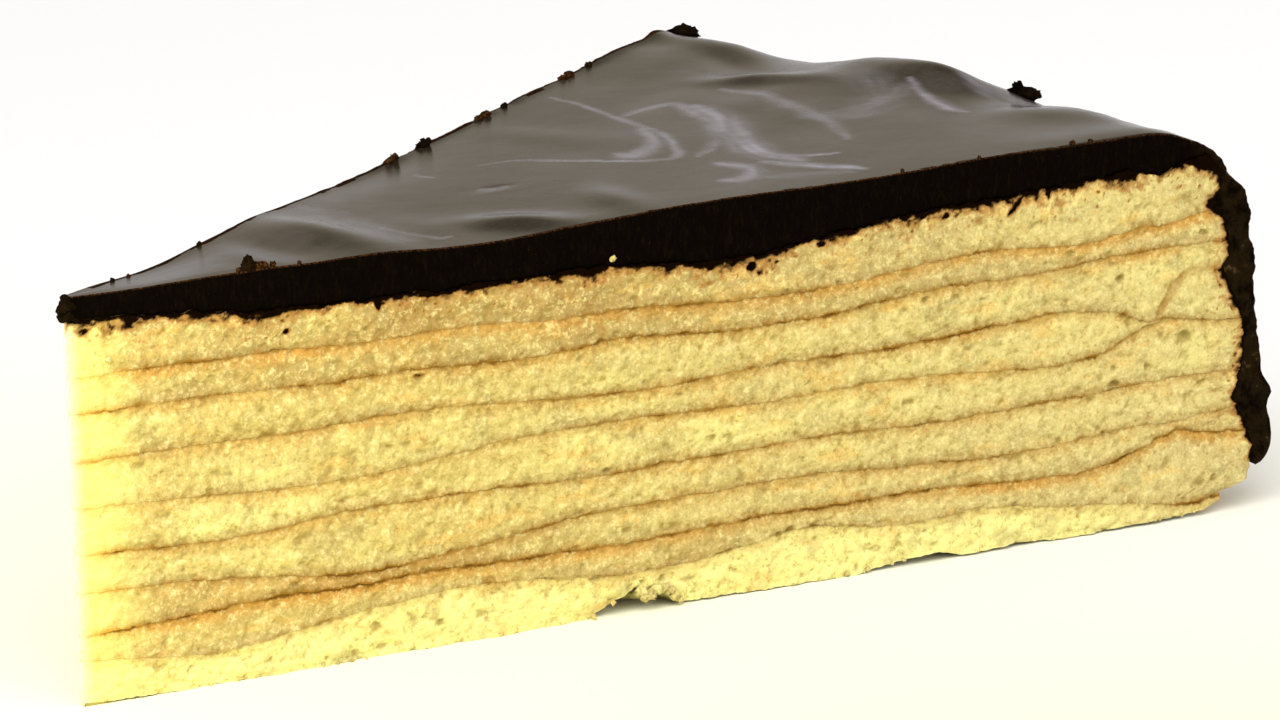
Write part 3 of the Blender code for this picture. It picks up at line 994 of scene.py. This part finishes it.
def finished_outer(outer):
    """The outer surface with its ripples, runs and swells, and the raised edge along the far cut."""
    angle = angles_across(TOP_COLUMNS + 1)[:, None]
    radius, height = outer[..., 0], outer[..., 1]
    x, y = radius * np.cos(angle), radius * np.sin(angle)
    down = ease(radius, 120.0, 132.0)
    lift = ripples(APEX_X + x, y) * (1.0 - down) + wall_relief(angle, height) * down
    lift = lift * (0.15 + 0.85 * ease(radius, 2.0, 16.0))
    round_rim = ease(radius, 104.0, 122.0) * (1.0 - 0.7 * ease(height, 38.5, 36.0))
    lift = lift + swelled(0.0, np.degrees(angle), RIM_SWELLS) * round_rim
    to_far = (HALF_ANGLE - angle) * radius
    lift = lift - swelled(0.0, radius, FAR_DIPS) * bell(to_far, 5.0)
    uneven = 0.6 + 0.5 * soft_noise(radius / 3.0, 0.5, 331)
    lift = lift + FAR_LIP * uneven * bell(to_far, 0.9) * ease(radius, 40.0, 62.0)
    return outer + outward(outer) * lift[..., None]


def inner_edge(inner, side):
    """The inner profile at a cut, following the ragged skin and rim of the sponge."""
    radius, height = inner[:, 0].copy(), inner[:, 1].copy()
    on_top = 1.0 - ease(radius, 124.5, 126.5)
    height = height * (1 - on_top) + (skin_height(LAYERS, radius, side) - 0.12) * on_top
    radius = radius * on_top + (coat_edge(height, side) - 0.12) * (1 - on_top)
    return np.stack([radius, height], axis=-1)


def band(inner, outer, side):
    """The cut face of the glaze: points from the inner to the outer edge, and the depth below it."""
    part = crowded(BAND_ROWS, -0.3)
    radius, height = (inner[:, None, axis] + (outer - inner)[:, None, axis] * part for axis in (0, 1))
    span = np.linalg.norm(outer - inner, axis=-1)[:, None]
    depth = span * (1.0 - part)
    seed = side_seed(side) + 71
    drag = 0.07 * rough_noise(radius / 0.5, height / 3.0, seed, 3)
    wall = ease(radius, 126.0, 130.0)
    chips = (0.09 + 0.16 * wall) * rough_noise(radius / 1.8, height / 1.5, seed + 5, 4)
    worn = 0.22 * bell(depth, 0.22) + 0.30 * bell(span - depth, 0.25)
    return cut_points(radius, height, side, drag + chips - worn + 0.05), depth, wall


def ring_points(profile, angles):
    """Points of (radius, height) profiles at their angles."""
    return placed(profile[..., 0], angles[:, None], profile[..., 1])


def round_slice(near, top, far, under):
    """Rows that run round the slice: up the near cut, over the top, down the far cut and back below."""
    return np.concatenate([near.swapaxes(0, 1), top, far.swapaxes(0, 1)[::-1], under[::-1]])


def far_lip(outer, angles):
    """Which faces of the top lie on the worn, matte edge along the far cut."""
    radius = outer[0, :-1, 0]
    to_far = (HALF_ANGLE - 0.5 * (angles[:-1] + angles[1:]))[:, None] * radius
    uneven = 0.8 + 0.4 * soft_noise(radius / 2.0, 0.5, 332)
    return (to_far < FAR_LIP_WIDTH * uneven) & (radius > FAR_LIP_FROM)


def glaze():
    """The glaze as one closed solid, lofted from ring to ring from the tip to the lower lip."""
    outer, inner = glaze_surfaces()
    outer = finished_outer(outer)
    near, near_depth, near_wall = band(inner_edge(inner[0], NEAR), outer[0], NEAR)
    far, far_depth, far_wall = band(inner_edge(inner[-1], FAR), outer[-1], FAR)
    top_angles = angles_across(TOP_COLUMNS + 1)
    top = ring_points(outer, top_angles)[1:-1]
    under = ring_points(inner, angles_across(UNDER_COLUMNS + 1))[1:-1]
    rings = round_slice(near, top, far, under)
    plain_top, plain_under = np.full(top.shape[:2], FAR_LIP_DEPTH), np.ones(under.shape[:2])
    depth = round_slice(near_depth, plain_top, far_depth, plain_under)
    wall = round_slice(near_wall, plain_top, far_wall, plain_under)
    count, length = rings.shape[:2]
    ids = np.arange(count * length).reshape(count, length)
    closed = np.vstack([ids, ids[:1]])
    faces = quads(closed, True)
    faces += [ids[:, 0].tolist(), ids[::-1, -1].tolist()]
    milk_and_sheen = np.zeros((count, length))
    first = BAND_ROWS + 1
    # milky strokes on the top, partly a painted reflection
    milk_and_sheen[first:first + len(top)] = haze_and_sheen(top[..., 0], top[..., 1])
    attributes = {"depth": depth.ravel(), "wall": wall.ravel(), "haze_and_sheen": milk_and_sheen.ravel()}
    piece = new_object("glaze_coat", rings.reshape(-1, 3), faces, attributes, glaze_material(), 60.0)
    piece.data.materials.append(cut_glaze_material())
    strip = np.zeros((count, length - 1), int)
    strip[:BAND_ROWS] = 1
    strip[first + len(top):first + len(top) + BAND_ROWS] = 1
    strip[first - 1:first + len(top)][far_lip(outer, top_angles)] = 1
    slots = np.concatenate([strip.ravel(), [1, 1]])
    piece.data.polygons.foreach_set("material_index", slots.astype(np.int32))
    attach(piece, "root")
    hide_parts("chocolate_glaze")
    return piece


# Crumbs


# How many rings of points a crumb has, and the two slanted ways along which its form is uneven
LUMP_RINGS = 10
LUMP_SLANTS = ((1.3, 0.4), (-0.5, 1.2), (0.9, -0.7))


def lump(place, halves, turn, seed):
    """Points and faces of one uneven crumb; its half sizes are along, across and up."""
    rings, columns = LUMP_RINGS, 2 * LUMP_RINGS
    polar = np.linspace(0.0, math.pi, rings + 1)[1:-1, None]
    about = np.linspace(0.0, 2.0 * math.pi, columns, endpoint=False)[None, :]
    ball = [np.sin(polar) * np.cos(about), np.sin(polar) * np.sin(about), np.cos(polar) + 0.0 * about]
    ball = np.vstack([np.stack(ball, axis=-1).reshape(-1, 3), [[0, 0, 1.0], [0, 0, -1.0]]])
    slanted = 1.7 * (ball @ np.array(LUMP_SLANTS))
    swell = 1.0 + 0.62 * rough_noise(slanted[:, 0] + 7.3 * seed, slanted[:, 1], seed, 4, 0.75)
    swell = np.maximum(swell, 0.35)
    points = ball * swell[:, None] * np.array(halves)
    turn = math.radians(turn)
    x = points[:, 0] * math.cos(turn) - points[:, 1] * math.sin(turn)
    y = points[:, 0] * math.sin(turn) + points[:, 1] * math.cos(turn)
    points = np.stack([x, y, points[:, 2]], axis=-1) + np.array(place)
    ids = np.arange((rings - 1) * columns).reshape(rings - 1, columns)
    wrapped = np.hstack([ids, ids[:, :1]])
    faces = quads(wrapped)
    top, bottom = wrapped[0].tolist(), wrapped[-1].tolist()
    faces += [[ids.size, first, second] for first, second in zip(top[:-1], top[1:])]
    faces += [[ids.size + 1, second, first] for first, second in zip(bottom[:-1], bottom[1:])]
    return points, faces


def lump_mesh(lumps):
    """Many crumbs as one list of points and faces, with the number of points of each."""
    points, faces, counts = [], [], []
    for number, (place, halves, turn) in enumerate(lumps):
        some_points, some_faces = lump(place, halves, turn, 600 + number)
        first = sum(counts)
        faces += [[first + index for index in face] for face in some_faces]
        points.append(some_points)
        counts.append(len(some_points))
    return np.concatenate(points), faces, counts


# Chocolate crumbs on the top's two cut edges: side, radius, rise above the edge, half width and
# height, and how dark each one is
EDGE_CRUMBS = (
    (NEAR, 19.9, 0.45, 0.70, 0.90, 0.6),
    (NEAR, 20.9, 0.15, 0.50, 0.50, 0.1),
    (NEAR, 19.0, 0.05, 0.35, 0.30, 0.0),
    (NEAR, 21.6, 0.20, 0.36, 0.42, 0.0),
    (NEAR, 22.4, 0.15, 0.30, 0.36, 0.0),
    (NEAR, 25.2, 0.05, 0.22, 0.20, 0.1),
    (NEAR, 92.0, 0.05, 0.20, 0.22, 0.0),
    (NEAR, 101.0, 0.05, 0.22, 0.18, 0.0),
    (NEAR, 112.0, 0.10, 0.34, 0.26, 0.0),
    (NEAR, 114.2, 0.05, 0.30, 0.22, 0.0),
    (FAR, 9.0, 0.05, 0.30, 0.30, 1.0),
    (FAR, 11.8, 0.05, 0.24, 0.22, 0.3),
    (FAR, 24.6, 0.10, 0.28, 0.32, 0.5),
    (FAR, 61.6, 0.15, 0.50, 0.35, 0.1),
    (FAR, 62.9, 0.25, 0.55, 0.50, 0.3),
    (FAR, 68.6, 0.20, 0.55, 0.45, 0.9),
    (FAR, 69.5, 0.20, 0.62, 0.55, 1.0),
    (FAR, 80.9, 0.10, 0.50, 0.30, 0.0),
    (FAR, 82.4, 0.15, 0.60, 0.40, 0.0),
    (FAR, 86.6, 0.15, 0.45, 0.38, 0.8),
    (FAR, 99.8, 0.10, 0.50, 0.34, 0.0),
    (FAR, 101.4, 0.15, 0.70, 0.42, 0.1),
    (FAR, 106.0, 0.10, 0.45, 0.30, 0.5),
)

# Larger pieces of chocolate on the top: place, half sizes, turn and rise
FLAKES = (
    ((53.4, 38.4), (1.7, 1.2, 0.95), 108.0, 0.70),
    ((57.4, -10.4), (1.9, 0.6, 0.75), 101.0, 0.45),
    ((57.3, -9.2), (0.8, 0.5, 0.75), 80.0, 0.7),
)
# Worn blobs at the tip and at the coat's foot: place, half sizes and turn
BLOBS = (
    ((-67.5, 0.0, 40.4), (0.95, 0.75, 0.95), 20.0),
    ((-67.3, 0.1, 39.4), (1.00, 0.80, 0.70), 70.0),
    ((-66.6, 0.1, 38.9), (0.80, 0.70, 0.50), 40.0),
    ((60.3, -41.3, 6.6), (0.9, 0.5, 0.9), 70.0),
    ((61.0, -41.3, 7.4), (0.5, 0.3, 0.25), 0.0),
)


# How far the edge crumbs sit from the cut
EDGE_INSET = 0.45


def glaze_crumbs(coat):
    """Chocolate crumbs on the cut edges of the top, and flakes and blobs at its tip, rim and foot."""
    surface = tree_over([coat])
    lumps, darkness = [], []
    for side, radius, rise, width, height, dark in EDGE_CRUMBS:
        x, y = flat_place(radius, side * (HALF_ANGLE - EDGE_INSET / radius))
        place = (x, y, top_of(surface, x, y) + 0.6 * rise)
        lumps.append((place, (width, 0.8 * width, height), math.degrees(side * HALF_ANGLE)))
        darkness.append(dark)
    for (x, y), halves, turn, rise in FLAKES:
        lumps.append(((x, y, top_of(surface, x, y) + rise), halves, turn))
    lumps += BLOBS
    darkness += [1.0] * (len(FLAKES) + len(BLOBS))
    points, faces, counts = lump_mesh(lumps)
    attributes = {
        "depth": np.repeat(np.array(darkness), counts) * 0.3,
        "wall": np.full(len(points), 0.7),
    }
    crumbs = new_object("glaze_crumbs", points, faces, attributes, cut_glaze_material())
    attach(crumbs, "root")


# Crumbs that hang in the opening at the foot of the near cut, and pale bits higher up on it, as
# radius, height and half size
HANGING_CRUMBS = (
    (61.3, 2.2, 0.60), (61.8, 1.7, 0.60), (62.4, 1.8, 0.65), (63.0, 2.2, 0.60), (64.0, 2.3, 0.50),
    (64.6, 1.8, 0.55), (65.1, 1.2, 0.50), (65.7, 0.7, 0.40),
    (58.7, 37.6, 0.34), (55.5, 33.8, 0.30), (52.8, 33.9, 0.28), (4.9, 34.6, 0.26),
)
# How many small crumbs lie along the foot, and how far the lowest of all stay off the ground
FOOT_CRUMBS = 24
CRUMB_CLEARANCE = 0.02


def sponge_crumbs():
    """Pale crumbs that cling to the foot of the near cut and to the opening in it."""
    draw = np.random.default_rng(21)
    lumps = []
    for radius, height, size in HANGING_CRUMBS:
        x, y = flat_place(radius, -HALF_ANGLE)
        lumps.append(((x, y - 0.1, height), (size, size * 0.9, size * 0.85), 40.0 * height))
    for radius in 3.0 + 125.0 * draw.random(FOOT_CRUMBS):
        size = 0.10 + 0.14 * draw.random() ** 2
        x, y = flat_place(radius, -HALF_ANGLE)
        height = float(base_lift(np.array([radius]), NEAR)[0]) + size * (0.6 + 0.8 * draw.random())
        lumps.append(((x, y - 0.15, height), (1.2 * size, size, size), 180.0 * draw.random()))
    points, faces, counts = lump_mesh(lumps)
    points[:, 2] = np.maximum(points[:, 2], CRUMB_CLEARANCE)
    attributes = {look: np.full(len(points), value) for look, value in PLAIN_LOOKS.items()}
    attributes["pale"] = np.repeat(np.resize((0.5, 0.1, 0.3, 0.6), len(counts)), counts)
    attributes["crust"] = np.zeros(len(points))
    crumbs = new_object("sponge_crumbs", points, faces, attributes, sponge_material(0))
    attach(crumbs, "root")


# Materials


def node(tree, kind, settings=(), **inputs):
    """A shader node with its settings, its values and its links."""
    made = tree.nodes.new("ShaderNode" + kind)
    for key, value in dict(settings).items():
        setattr(made, key, value)
    for key, value in inputs.items():
        socket = made.inputs[int(key[1:])] if key[0] == "n" and key[1:].isdigit() else None
        socket = socket or made.inputs[key.replace("_", " ")]
        if isinstance(value, bpy.types.NodeSocket):
            tree.links.new(value, socket)
        else:
            socket.default_value = value
    return made


def combine(tree, operation, first, second):
    return node(tree, "Math", {"operation": operation}, n0=first, n1=second).outputs[0]


def scaled(tree, value, factor):
    return combine(tree, "MULTIPLY", value, factor)


def fade(tree, value, start, end):
    """0 at start and 1 at end, with a smooth step between."""
    settings = {"interpolation_type": "SMOOTHSTEP"}
    limits = {"From_Min": start, "From_Max": end, "To_Min": 0.0, "To_Max": 1.0}
    return node(tree, "MapRange", settings, Value=value, **limits).outputs[0]


def mix(tree, amount, first, second):
    """Colour between two colours."""
    made = node(tree, "Mix", {"data_type": "RGBA"}, n0=amount)
    for socket, value in ((made.inputs[6], first), (made.inputs[7], second)):
        if isinstance(value, bpy.types.NodeSocket):
            tree.links.new(value, socket)
        else:
            socket.default_value = (*value, 1.0)
    return made.outputs[2]


def covered(tree, color, coats):
    """A colour with others laid over it in turn; each has its place, its strength and its colour."""
    for place, strength, coat in coats:
        color = mix(tree, scaled(tree, place, strength), color, coat)
    return color


def noise_at(tree, place, size, detail=3.0, roughness=0.6):
    """Noise of a size in millimetres."""
    values = {"Scale": 1.0 / (size * MM), "Detail": detail, "Roughness": roughness}
    return node(tree, "TexNoise", Vector=place, **values).outputs["Fac"]


def stretched(tree, place, factors):
    """Places scaled along the axes; what is drawn there stretches along those with a small factor."""
    return node(tree, "VectorMath", {"operation": "MULTIPLY"}, n0=place, n1=factors).outputs[0]


def measured(tree, place, way):
    """How far places lie along a direction."""
    return node(tree, "VectorMath", {"operation": "DOT_PRODUCT"}, n0=place, n1=way).outputs["Value"]


def attribute(tree, name):
    return node(tree, "Attribute", {"attribute_name": name}).outputs["Fac"]


def new_material(name):
    """A material, its node tree, its shader and the places on the object."""
    material = bpy.data.materials.new(name)
    material.use_nodes = True
    tree = material.node_tree
    place = node(tree, "TexCoord").outputs["Object"]
    return material, tree, tree.nodes["Principled BSDF"], place


CRUMB_YELLOW = (0.525, 0.41, 0.135)
CRUMB_PALE = (0.76, 0.70, 0.255)
CRUMB_TAN = (0.375, 0.24, 0.076)
CRUMB_GREY = (0.43, 0.345, 0.140)
CRUMB_LIGHT = (0.73, 0.635, 0.28)
CRUMB_CREAM = (0.63, 0.56, 0.27)
# painted light: crumb near the tip, brightened as if lit through
CRUMB_PAINTED_GLOW = (0.84, 0.78, 0.235)
# painted highlight: the near-white very tip
CRUMB_PAINTED_TIP_LIGHT = (0.92, 0.90, 0.66)
# dark crumb at random, and painted shade in the crumb's pits
CRUMB_DEEP_AND_PIT_SHADE = (0.29, 0.205, 0.050)
CRUMB_SHADE = (0.37, 0.30, 0.12)
# painted shade in the deepest pores
CRUMB_HOLLOW_SHADE = (0.175, 0.15, 0.030)
CRUMB_WARM = (0.66, 0.41, 0.11)
SKIN_TAN = (0.58, 0.31, 0.070)
SKIN_BROWN = (0.245, 0.118, 0.013)
# painted light: skin lines near the tip, orange as if lit through
SKIN_PAINTED_GLOW = (0.56, 0.30, 0.035)
SKIN_DARK = (0.095, 0.038, 0.0075)
FOLD_BROWN = (0.31, 0.16, 0.032)
CRUST_BROWN = (0.34, 0.17, 0.05)
STAIN_TAN = (0.34, 0.165, 0.042)
CHOCOLATE = (0.0050, 0.0021, 0.0008)


def skin_line(tree, gap):
    """How brown the crumb is at a distance from a skin: a soft band with a darker middle."""
    soft = scaled(tree, fade(tree, gap, 1.30, -0.10), 0.52)
    core = scaled(tree, fade(tree, gap, 0.55, 0.0), 0.90)
    return combine(tree, "MAXIMUM", soft, core)


def sponge_material(number):
    """Pale yellow crumb, with browned skins that follow the layer's edges, painted shade in its pits and
    pores, and painted light at its tip.
    """
    material, tree, shader, place = new_material(f"sponge_{number}")
    cloud = noise_at(tree, place, 3.6)
    drift = noise_at(tree, stretched(tree, place, (0.4, 0.4, 1.0)), 2.4)
    lumps = noise_at(tree, place, 0.95, 4.0, 0.65)
    grain = noise_at(tree, place, 0.33, 3.0, 0.7)
    look = {name: attribute(tree, name) for name in ("crust", *PLAIN_LOOKS)}
    tone = combine(tree, "ADD", scaled(tree, lumps, 0.6), scaled(tree, grain, 0.6))
    shaky = scaled(tree, combine(tree, "SUBTRACT", tone, 0.6), 0.9)
    top_gap = combine(tree, "ADD", look["to_top"], shaky)
    low_gap = combine(tree, "ADD", look["to_bottom"], shaky)
    top_line = scaled(tree, skin_line(tree, top_gap), look["brown"])
    low_line = scaled(tree, skin_line(tree, low_gap), look["below"])
    line = combine(tree, "MAXIMUM", top_line, low_line)
    # the skin lines turn to a painted orange glow near the tip
    line_brown = mix(tree, look["painted_tip_glow"], SKIN_BROWN, SKIN_PAINTED_GLOW)
    scorched = scaled(tree, fade(tree, top_gap, 0.40, 0.05), fade(tree, look["brown"], 0.85, 1.25))
    fold = combine(tree, "SUBTRACT", look["fold"], scaled(tree, shaky, 1.2))
    patchy = combine(tree, "ADD", scaled(tree, fade(tree, cloud, 0.40, 0.58), 0.45), 0.45)
    stained = combine(tree, "SUBTRACT", look["stain"], scaled(tree, shaky, 0.7))
    body = covered(tree, CRUMB_YELLOW, (
        (fade(tree, look["pale"], 0.0, 1.0), 1.0, CRUMB_PALE),
        (fade(tree, look["pale"], 0.0, -1.0), 1.0, CRUMB_TAN),
        (look["cream"], 0.42, CRUMB_CREAM),
        (fade(tree, cloud, 0.51, 0.66), 0.45, CRUMB_SHADE),
        (fade(tree, drift, 0.53, 0.68), 0.55, CRUMB_WARM),
        (fade(tree, look["to_bottom"], 1.7, 0.2), look["foot"], CRUMB_GREY),
        (fade(tree, top_gap, 1.9, 0.2), look["tan"], SKIN_TAN),
        (fade(tree, tone, 0.60, 0.73), 0.65, CRUMB_LIGHT),
        (fade(tree, tone, 0.58, 0.44), 0.50, CRUMB_DEEP_AND_PIT_SHADE),
        # painted shade: pits and pores of the crumb darkened by their depth
        (fade(tree, look["pit_shade"], 0.30, 0.95), 0.65, CRUMB_DEEP_AND_PIT_SHADE),
        (fade(tree, look["pit_shade"], 1.0, 1.5), 0.7, CRUMB_HOLLOW_SHADE),
        # painted light: crumb near the tip brightened
        (look["painted_tip_glow"], 0.64, CRUMB_PAINTED_GLOW),
        (line, 1.0, line_brown),
        (scorched, 0.8, SKIN_DARK),
        (fade(tree, fold, 0.05, 1.0), patchy, FOLD_BROWN),
        # painted highlight: the very tip painted near white
        (look["tip"], 0.9, CRUMB_PAINTED_TIP_LIGHT),
        (look["crust"], 0.8, CRUST_BROWN),
        (fade(tree, stained, 0.0, 0.45), 0.85, STAIN_TAN),
        (fade(tree, stained, 0.40, 0.85), 1.0, CHOCOLATE),
    ))
    tree.links.new(body, shader.inputs["Base Color"])
    shader.inputs["Roughness"].default_value = 0.9
    shader.inputs["Specular IOR Level"].default_value = 0.0
    shader.inputs["Subsurface Weight"].default_value = 0.10
    shader.inputs["Subsurface Radius"].default_value = (1.0, 0.55, 0.2)
    shader.inputs["Subsurface Scale"].default_value = 0.0008
    bump = node(tree, "Bump", Strength=0.6, Distance=0.0002, Height=grain)
    bump = node(tree, "Bump", Strength=0.4, Distance=0.0003, Height=lumps, Normal=bump.outputs[0])
    tree.links.new(bump.outputs[0], shader.inputs["Normal"])
    return material


GLAZE_DARK = (0.011, 0.008, 0.004)
GLAZE_WARM = (0.027, 0.019, 0.010)
# milky film of the strokes, its lilac brightness partly a painted reflection of the room
GLAZE_HAZE_AND_SHEEN = (0.29, 0.275, 0.32)
CUT_BLACK = (0.0018, 0.0009, 0.0004)
CUT_BROWN = (0.0062, 0.0030, 0.0011)
CUT_EDGE = (0.085, 0.030, 0.008)
CUT_FLECK = (0.060, 0.045, 0.030)
COAT_BROWN = (0.0110, 0.0062, 0.0020)
COAT_SMEAR = (0.085, 0.052, 0.018)


def glaze_material():
    """Dark glaze with a satin top and milky strokes in it, their lilac brightness partly a painted
    reflection.
    """
    material, tree, shader, place = new_material("dark_glaze")
    milk_and_sheen = attribute(tree, "haze_and_sheen")
    tone = noise_at(tree, place, 9.0, 4.0)
    fine = noise_at(tree, place, 0.5, 3.0, 0.7)
    top = mix(tree, fade(tree, tone, 0.35, 0.7), GLAZE_DARK, GLAZE_WARM)
    cloud = scaled(tree, fade(tree, tone, 0.50, 0.72), 0.045)
    cloud = combine(tree, "ADD", cloud, scaled(tree, fade(tree, fine, 0.42, 0.70), 0.035))
    amount = combine(tree, "MAXIMUM", combine(tree, "MINIMUM", milk_and_sheen, 1.0), cloud)
    # painted reflection in part: milky strokes and faint clouds turn the top lilac grey
    tree.links.new(mix(tree, amount, top, GLAZE_HAZE_AND_SHEEN), shader.inputs["Base Color"])
    rough = combine(tree, "ADD", scaled(tree, fade(tree, tone, 0.3, 0.7), 0.07), 0.20)
    rough = combine(tree, "ADD", rough, scaled(tree, milk_and_sheen, 0.2))
    tree.links.new(rough, shader.inputs["Roughness"])
    shader.inputs["IOR"].default_value = 1.45
    bump = node(tree, "Bump", Strength=0.12, Distance=0.0001, Height=fine)
    tree.links.new(bump.outputs[0], shader.inputs["Normal"])
    return material


def cut_glaze_material():
    """Glaze where it is cut: matte, near black and finely grained, with a brown upper edge."""
    material, tree, shader, place = new_material("cut_glaze")
    knife = noise_at(tree, stretched(tree, place, (1.0, 1.0, 0.25)), 0.4, 4.0, 0.7)
    fine = noise_at(tree, place, 0.18, 2.0, 0.7)
    blotch = noise_at(tree, place, 2.0, 4.0, 0.65)
    depth, wall = attribute(tree, "depth"), attribute(tree, "wall")
    smear = scaled(tree, wall, fade(tree, blotch, 0.60, 0.70))
    face = covered(tree, CUT_BLACK, (
        (fade(tree, knife, 0.45, 0.8), 1.0, CUT_BROWN),
        (wall, fade(tree, blotch, 0.36, 0.56), COAT_BROWN),
        (smear, 0.55, COAT_SMEAR),
        (fade(tree, fine, 0.72, 0.80), 1.0, CUT_FLECK),
        (fade(tree, depth, 0.22, 0.03), fade(tree, fine, 0.40, 0.65), CUT_EDGE),
    ))
    tree.links.new(face, shader.inputs["Base Color"])
    shader.inputs["Roughness"].default_value = 0.75
    shader.inputs["Specular IOR Level"].default_value = 0.012
    grainy = combine(tree, "ADD", knife, fine)
    bump = node(tree, "Bump", Strength=0.6, Distance=0.0003, Height=grainy)
    tree.links.new(bump.outputs[0], shader.inputs["Normal"])
    return material


FLOOR_NEAR = (0.93, 0.93, 0.54)
FLOOR_FAR = (0.95, 0.95, 0.97)
FLOOR_CLOUD = (0.95, 0.94, 0.90)
FLOOR_BACKWARD = (0.84, 0.54, 0.0)


def floor_material():
    """White floor, a little yellow in front of the slice."""
    material, tree, shader, place = new_material("pale_floor")
    back = fade(tree, measured(tree, place, FLOOR_BACKWARD), -0.12, 0.11)
    tone = mix(tree, back, FLOOR_NEAR, FLOOR_FAR)
    tone = covered(tree, tone, ((noise_at(tree, place, 60.0, 2.0), 0.1, FLOOR_CLOUD),))
    tree.links.new(tone, shader.inputs["Base Color"])
    shader.inputs["Roughness"].default_value = 0.7
    shader.inputs["Specular IOR Level"].default_value = 0.2
    return material


# Stage, light and camera


def floor():
    """The ground, far wider than the picture."""
    size = 3000.0
    points = [(x * size, y * size, 0.0) for x, y in ((-1, -1), (1, -1), (1, 1), (-1, 1))]
    piece = new_object("floor", points, [[0, 1, 2, 3]], {}, floor_material())


def direction(azimuth, elevation):
    """Unit vector from the object towards a viewer or lamp; azimuth 0 is in front, at -Y."""
    a, e = math.radians(azimuth), math.radians(elevation)
    return Vector((math.sin(a) * math.cos(e), -math.cos(a) * math.cos(e), math.sin(e)))


def softbox(name, azimuth, elevation, distance, size, power, color):
    """A rectangular lamp that faces the slice."""
    lamp = bpy.data.lights.new(name, "AREA")
    lamp.shape = "RECTANGLE"
    lamp.size, lamp.size_y = size
    lamp.energy = power
    lamp.color = color
    box = bpy.data.objects.new(name, lamp)
    towards = direction(azimuth, elevation)
    box.location = towards * distance
    box.rotation_euler = towards.to_track_quat("Z", "Y").to_euler()
    bpy.context.collection.objects.link(box)


def sun(name, azimuth, elevation, power, spread):
    """A broad distant light."""
    lamp = bpy.data.lights.new(name, "SUN")
    lamp.energy = power
    lamp.angle = math.radians(spread)
    item = bpy.data.objects.new(name, lamp)
    item.rotation_euler = direction(azimuth, elevation).to_track_quat("Z", "Y").to_euler()
    bpy.context.collection.objects.link(item)


ROOM_FRONT = (0.72, 0.71, 0.70)
ROOM_LOW = (0.70, 0.67, 0.67)
ROOM_MIDDLE = (0.61, 0.525, 0.395)
ROOM_HIGH = (0.26, 0.225, 0.17)


def room():
    """Soft light from everywhere; behind the slice it is bright low down and dimmer and warmer above."""
    world = bpy.data.worlds.new("soft_room")
    world.use_nodes = True
    tree = world.node_tree
    aim = node(tree, "TexCoord").outputs["Generated"]
    facing = measured(tree, aim, tuple(direction(136.0, 0.0)))
    rise = measured(tree, aim, (0.0, 0.0, 1.0))
    back = mix(tree, fade(tree, rise, 0.08, 0.27), ROOM_LOW, ROOM_MIDDLE)
    back = mix(tree, fade(tree, rise, 0.27, 0.50), back, ROOM_HIGH)
    color = mix(tree, fade(tree, facing, 0.1, 0.7), ROOM_FRONT, back)
    sky = tree.nodes["Background"]
    tree.links.new(color, sky.inputs["Color"])
    sky.inputs["Strength"].default_value = 1.0
    bpy.context.scene.world = world


def light():
    room()
    sun("high_sun", -50.0, 55.0, 1.45, 40.0)
    softbox("key", -84.0, 30.0, 0.17, (0.10, 0.10), 0.15, (1.0, 0.97, 0.90))
    softbox("fill", 8.0, 28.0, 0.55, (0.4, 0.4), 1.0, (1.0, 0.98, 0.96))
    bpy.context.scene.view_settings.view_transform = "Standard"


def camera():
    lens = bpy.data.cameras.new("camera")
    lens.sensor_width = 36.0
    lens.lens = FOCAL_LENGTH
    lens.clip_start = 0.02
    lens.clip_end = 20.0
    view = bpy.data.objects.new("camera", lens)
    back = direction(CAMERA_AZIMUTH, CAMERA_ELEVATION)
    turn = math.radians(CAMERA_AZIMUTH)
    right = Vector((math.cos(turn), math.sin(turn), 0.0))
    up = back.cross(right)
    axes = Matrix((right, up, back)).transposed().to_4x4()
    place = (Vector(CAMERA_TARGET) + back * CAMERA_DISTANCE) * MM
    roll = Matrix.Rotation(math.radians(CAMERA_ROLL), 4, "Z")
    view.matrix_world = Matrix.Translation(place) @ axes @ roll
    bpy.context.collection.objects.link(view)
    bpy.context.scene.camera = view


camera()
light()
floor()
for layer_number in range(1, LAYERS + 1):
    sponge_layer(layer_number)
sponge_crumbs()
glaze_crumbs(glaze())
